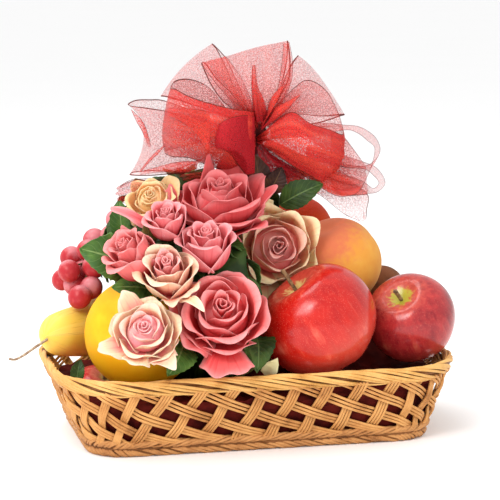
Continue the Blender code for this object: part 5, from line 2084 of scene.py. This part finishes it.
        (-34, 0, 206, -35, -4, 203, -35, -2, 199, 3.0), (-50, -2, 206, -51, -6, 203, -50, -4, 199, 2.2),
        (-65, 0, 203, -65, -3, 201, -65, -2, 199, 1.4), (-79, 4, 199, -79, 3, 198, -79, 4, 197, 0.9),
    )),
    Strip("spike_right_pleat", 0.0, (
        (13, 4, 228, 15, 0, 231, 20, 4, 233, 8.0), (22, -6, 237, 22, -12, 241, 22, -8, 245, 6.0),
        (30, -12, 245, 30, -16, 248, 30, -12, 250, 4.0), (40, -12, 255, 40, -13, 256, 40, -12, 256, 2.0),
    )),
    Strip("spike_inner_pleat", 0.0, (
        (13, 4, 230, 15, 0, 232, 18, 4, 233, 8.0), (16, -4, 239, 18, -8, 243, 18, -4, 247, 5.0),
        (21, -8, 249, 23, -10, 253, 21, -8, 256, 3.0), (27, -8, 260, 28, -9, 262, 29, -8, 263, 1.4),
    )),
)


@dataclass
class RibbonBow:
    """Bow of one sheer wired ribbon: standing loops, loose ends and the pinch that gathers them."""

    palette: Palette
    ribbon_width: float = 0.055
    thickness: float = 0.0003
    pleats: int = 3
    deepest_pleat: float = 0.0026
    rows_per_rib: int = 7
    knot_radius: float = 0.0085
    length: float = field(default=0.0, init=False)

    def strip(self, design: Strip, phase: float) -> Piece:
        """Make one stretch of ribbon through its ribs, pleated where it is gathered.

        Args:
            design: The stretch.
            phase: Where its pleats start.

        Returns:
            The stretch.
        """
        rows = self.rows_per_rib * (len(design.ribs) - 1)
        edges = [[Vector(rib[first:first + 3]) * MILLIMETRE for rib in design.ribs] for first in (0, 3, 6)]
        lines = [[along_points(edge, row / rows) for row in range(rows + 1)] for edge in edges]
        widths = [(left - middle).length + (middle - right).length for left, middle, right in zip(*lines)]
        layers = [Vector((rib[-1], 0.0, 0.0)) for rib in design.ribs]
        piece = grid(26, rows)
        folds = piece.data.attributes.new("folds", "FLOAT", "POINT")

        def across(row: int, side: float) -> Vector:
            """Place in a row, from side -1 at one edge to 1 at the other."""
            first, middle, last = (line[row] for line in lines)
            return first * (side * (side - 1) / 2) + middle * (1 - side**2) + last * (side * (side + 1) / 2)

        places = []
        for index, vertex in enumerate(piece.data.vertices):
            side = vertex.co.x
            row = round((vertex.co.y + 1.0) / 2 * rows)
            before, after = across(max(row - 1, 0), side), across(min(row + 1, rows), side)
            sideways = across(row, min(side + 0.05, 1.0)) - across(row, max(side - 0.05, -1.0))
            normal = (after - before).cross(sideways).normalized()
            gathered = 1.0 - min(1.0, widths[row] / self.ribbon_width)
            depth = design.pleated * min(self.deepest_pleat, 0.22 * widths[row]) * ease(gathered, 0.10, 0.65)
            pleat = depth * math.cos(math.pi * self.pleats * (side + 1.0) + phase)
            ripple = 0.0012 * noise.noise(across(row, side) * 28.0 + Vector((phase * 9.0, 0.0, 0.0)))
            places.append(across(row, side) + normal * (pleat + ripple))
            folds.data[index].value = along_points(layers, row / rows).x
        for vertex, place in zip(piece.data.vertices, places):
            vertex.co = place
        if not design.name.endswith("pleat"):
            self.length += sum((after - before).length for before, after in zip(lines[1], lines[1][1:]))
        return piece

    def knot(self) -> Piece:
        """Make the gathered pinch and the short stalk that carries the bow.

        Returns:
            The two as one piece.
        """
        piece = ball(48, 24)

        def gather(place: Vector) -> Vector:
            """Where a corner of the ball goes."""
            ridge = 1.0 + 0.09 * math.cos(math.atan2(place.x, place.z) * 9.0) * (1.0 - place.y**2)
            return KNOT + place * self.knot_radius * ridge

        shape(piece, gather)
        smooth(piece)
        foot = KNOT + (CORE_MIDDLE - KNOT).normalized() * 0.030
        pin = stalk((KNOT, KNOT.lerp(foot, 0.5), foot), 0.0050, 0.0045, 8)
        return join("knot", [piece, pin])

    def build(self) -> None:
        """Make the ribbon and the knot."""
        top_rose = next(rose for rose in ROSES if rose.name == "rose_top")
        middle, reach = Vector(top_rose.centre), top_rose.radius * 0.86

        def lift(place: Vector) -> Vector:
            """Move a place out of the top rose and the fruit."""
            away = place - middle
            if away.length < reach:
                place = middle + away.normalized() * reach
            return clear_of_fruit(place, 0.001)

        ribbon = join("ribbon", [self.strip(design, 0.9 * index) for index, design in enumerate(STRIPS)])
        shape(ribbon, lift)
        work(ribbon, "SOLIDIFY", thickness=self.thickness, offset=0.0)
        smooth(ribbon, 75.0)
        dress(ribbon, self.palette["coral_organza"])
        area = sum(face.area for face in ribbon.data.polygons) / 2
        flat_area = self.length * self.ribbon_width
        LOG.info("ribbon: %.3f m long, %.2f of its flat area shows", self.length, area / flat_area)
        knot = self.knot()
        dress(knot, self.palette["knot_organza"])
        settle(ribbon, "ribbon", "sheer_ribbon", "ribbon_bow")
        settle(knot, "ribbon_knot", "sheer_ribbon")


# Studio


@dataclass
class Studio:
    """Camera at the photograph's place, pale floor and soft light."""

    azimuth: float = -13.5
    elevation: float = 8.7
    distance: float = 1.5
    target: Place = (0.0045, 0.0, 0.1375)
    pixel: float = 0.00076
    picture_side: int = 500
    sheer_layers: int = 40
    lit: Vector = field(default_factory=lambda: Vector((0.0, 0.0, 0.12)))

    def camera(self) -> None:
        """Set the camera."""
        turn, climb = math.radians(self.azimuth), math.radians(self.elevation)
        back = Vector((math.sin(turn) * math.cos(climb), -math.cos(turn) * math.cos(climb), math.sin(climb)))
        right = Vector((math.cos(turn), math.sin(turn), 0.0))
        up = back.cross(right)
        lens = bpy.data.cameras.new("camera")
        lens.sensor_width = 36.0
        lens.lens = lens.sensor_width * self.distance / (self.pixel * self.picture_side)
        camera = bpy.data.objects.new("camera", lens)
        bpy.context.scene.collection.objects.link(camera)
        camera.matrix_world = Matrix.Translation(Vector(self.target) + back * self.distance) @ Matrix(
            (right, up, back)
        ).transposed().to_4x4()
        bpy.context.scene.camera = camera

    def lamp(self, name: str, place: Place, power: float, size: float, glint: bool = True) -> None:
        """Set one soft area light that looks at the basket's middle.

        Args:
            name: Name of the lamp.
            place: Where it stands.
            power: Its power in watts.
            size: Side of its square in metres.
            glint: Whether it shows in glossy skins.
        """
        light = bpy.data.lights.new(name, "AREA")
        light.energy = power
        light.size = size
        lamp = bpy.data.objects.new(name, light)
        lamp.visible_glossy = glint
        bpy.context.scene.collection.objects.link(lamp)
        turn = (self.lit - Vector(place)).to_track_quat("-Z", "Y")
        lamp.matrix_world = Matrix.Translation(Vector(place)) @ turn.to_matrix().to_4x4()

    def floor(self) -> None:
        """Lay the pale floor."""
        deselect()
        bpy.ops.mesh.primitive_plane_add(size=40.0)
        floor = bpy.context.object
        floor.name = "floor"
        tree = Tree("pale_floor", 0.9)
        greys = ((0.0, (270.1, 270.1, 270.1)), (1.0, (271.96, 271.96, 271.96)))
        tree.colour(tree.ramp(tree.noise(3.0, 1.0), *greys))
        dress(floor, tree.material)

    def build(self) -> None:
        """Set up everything round the part."""
        self.camera()
        self.floor()
        world = bpy.data.worlds.new("studio")
        world.use_nodes = True
        sky = world.node_tree.nodes["Background"].inputs
        sky["Color"].default_value = (1.0, 1.0, 1.0, 1.0)
        sky["Strength"].default_value = 1.0
        bpy.context.scene.world = world
        bpy.context.scene.view_settings.view_transform = "Standard"
        bpy.context.scene.cycles.transparent_max_bounces = self.sheer_layers
        self.lamp("key", (-1.2, -1.0, 1.40), 20.0, 1.0)
        self.lamp("fill", (0.5, -1.7, 0.75), 9.0, 1.2, glint=False)
        self.lamp("top", (-0.5, 0.5, 1.35), 9.0, 0.8)
        self.lamp("window", (-1.10, -1.20, 1.50), 4.0, 0.32)


def main() -> None:
    """Build the basket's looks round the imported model."""
    logging.basicConfig(level=logging.INFO, format="%(name)s: %(message)s")
    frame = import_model()
    nodes = frame["nodes"]
    palette = Palette()
    WovenBasket(palette).build()
    Packing(palette, nodes["filler_bed"], nodes["paper_corner"]).build()
    FruitBowl(palette).build()
    for design in ROSES:
        SilkRose(design, palette).build()
    blades = LeafBlade(palette)
    blades.build()
    Foliage(palette, nodes["foliage_core"], blades).build()
    RibbonBow(palette).build()
    dress(nodes["basket_floor"], palette["rattan_strand"])
    Studio().build()


if __name__ == "__main__":
    main()
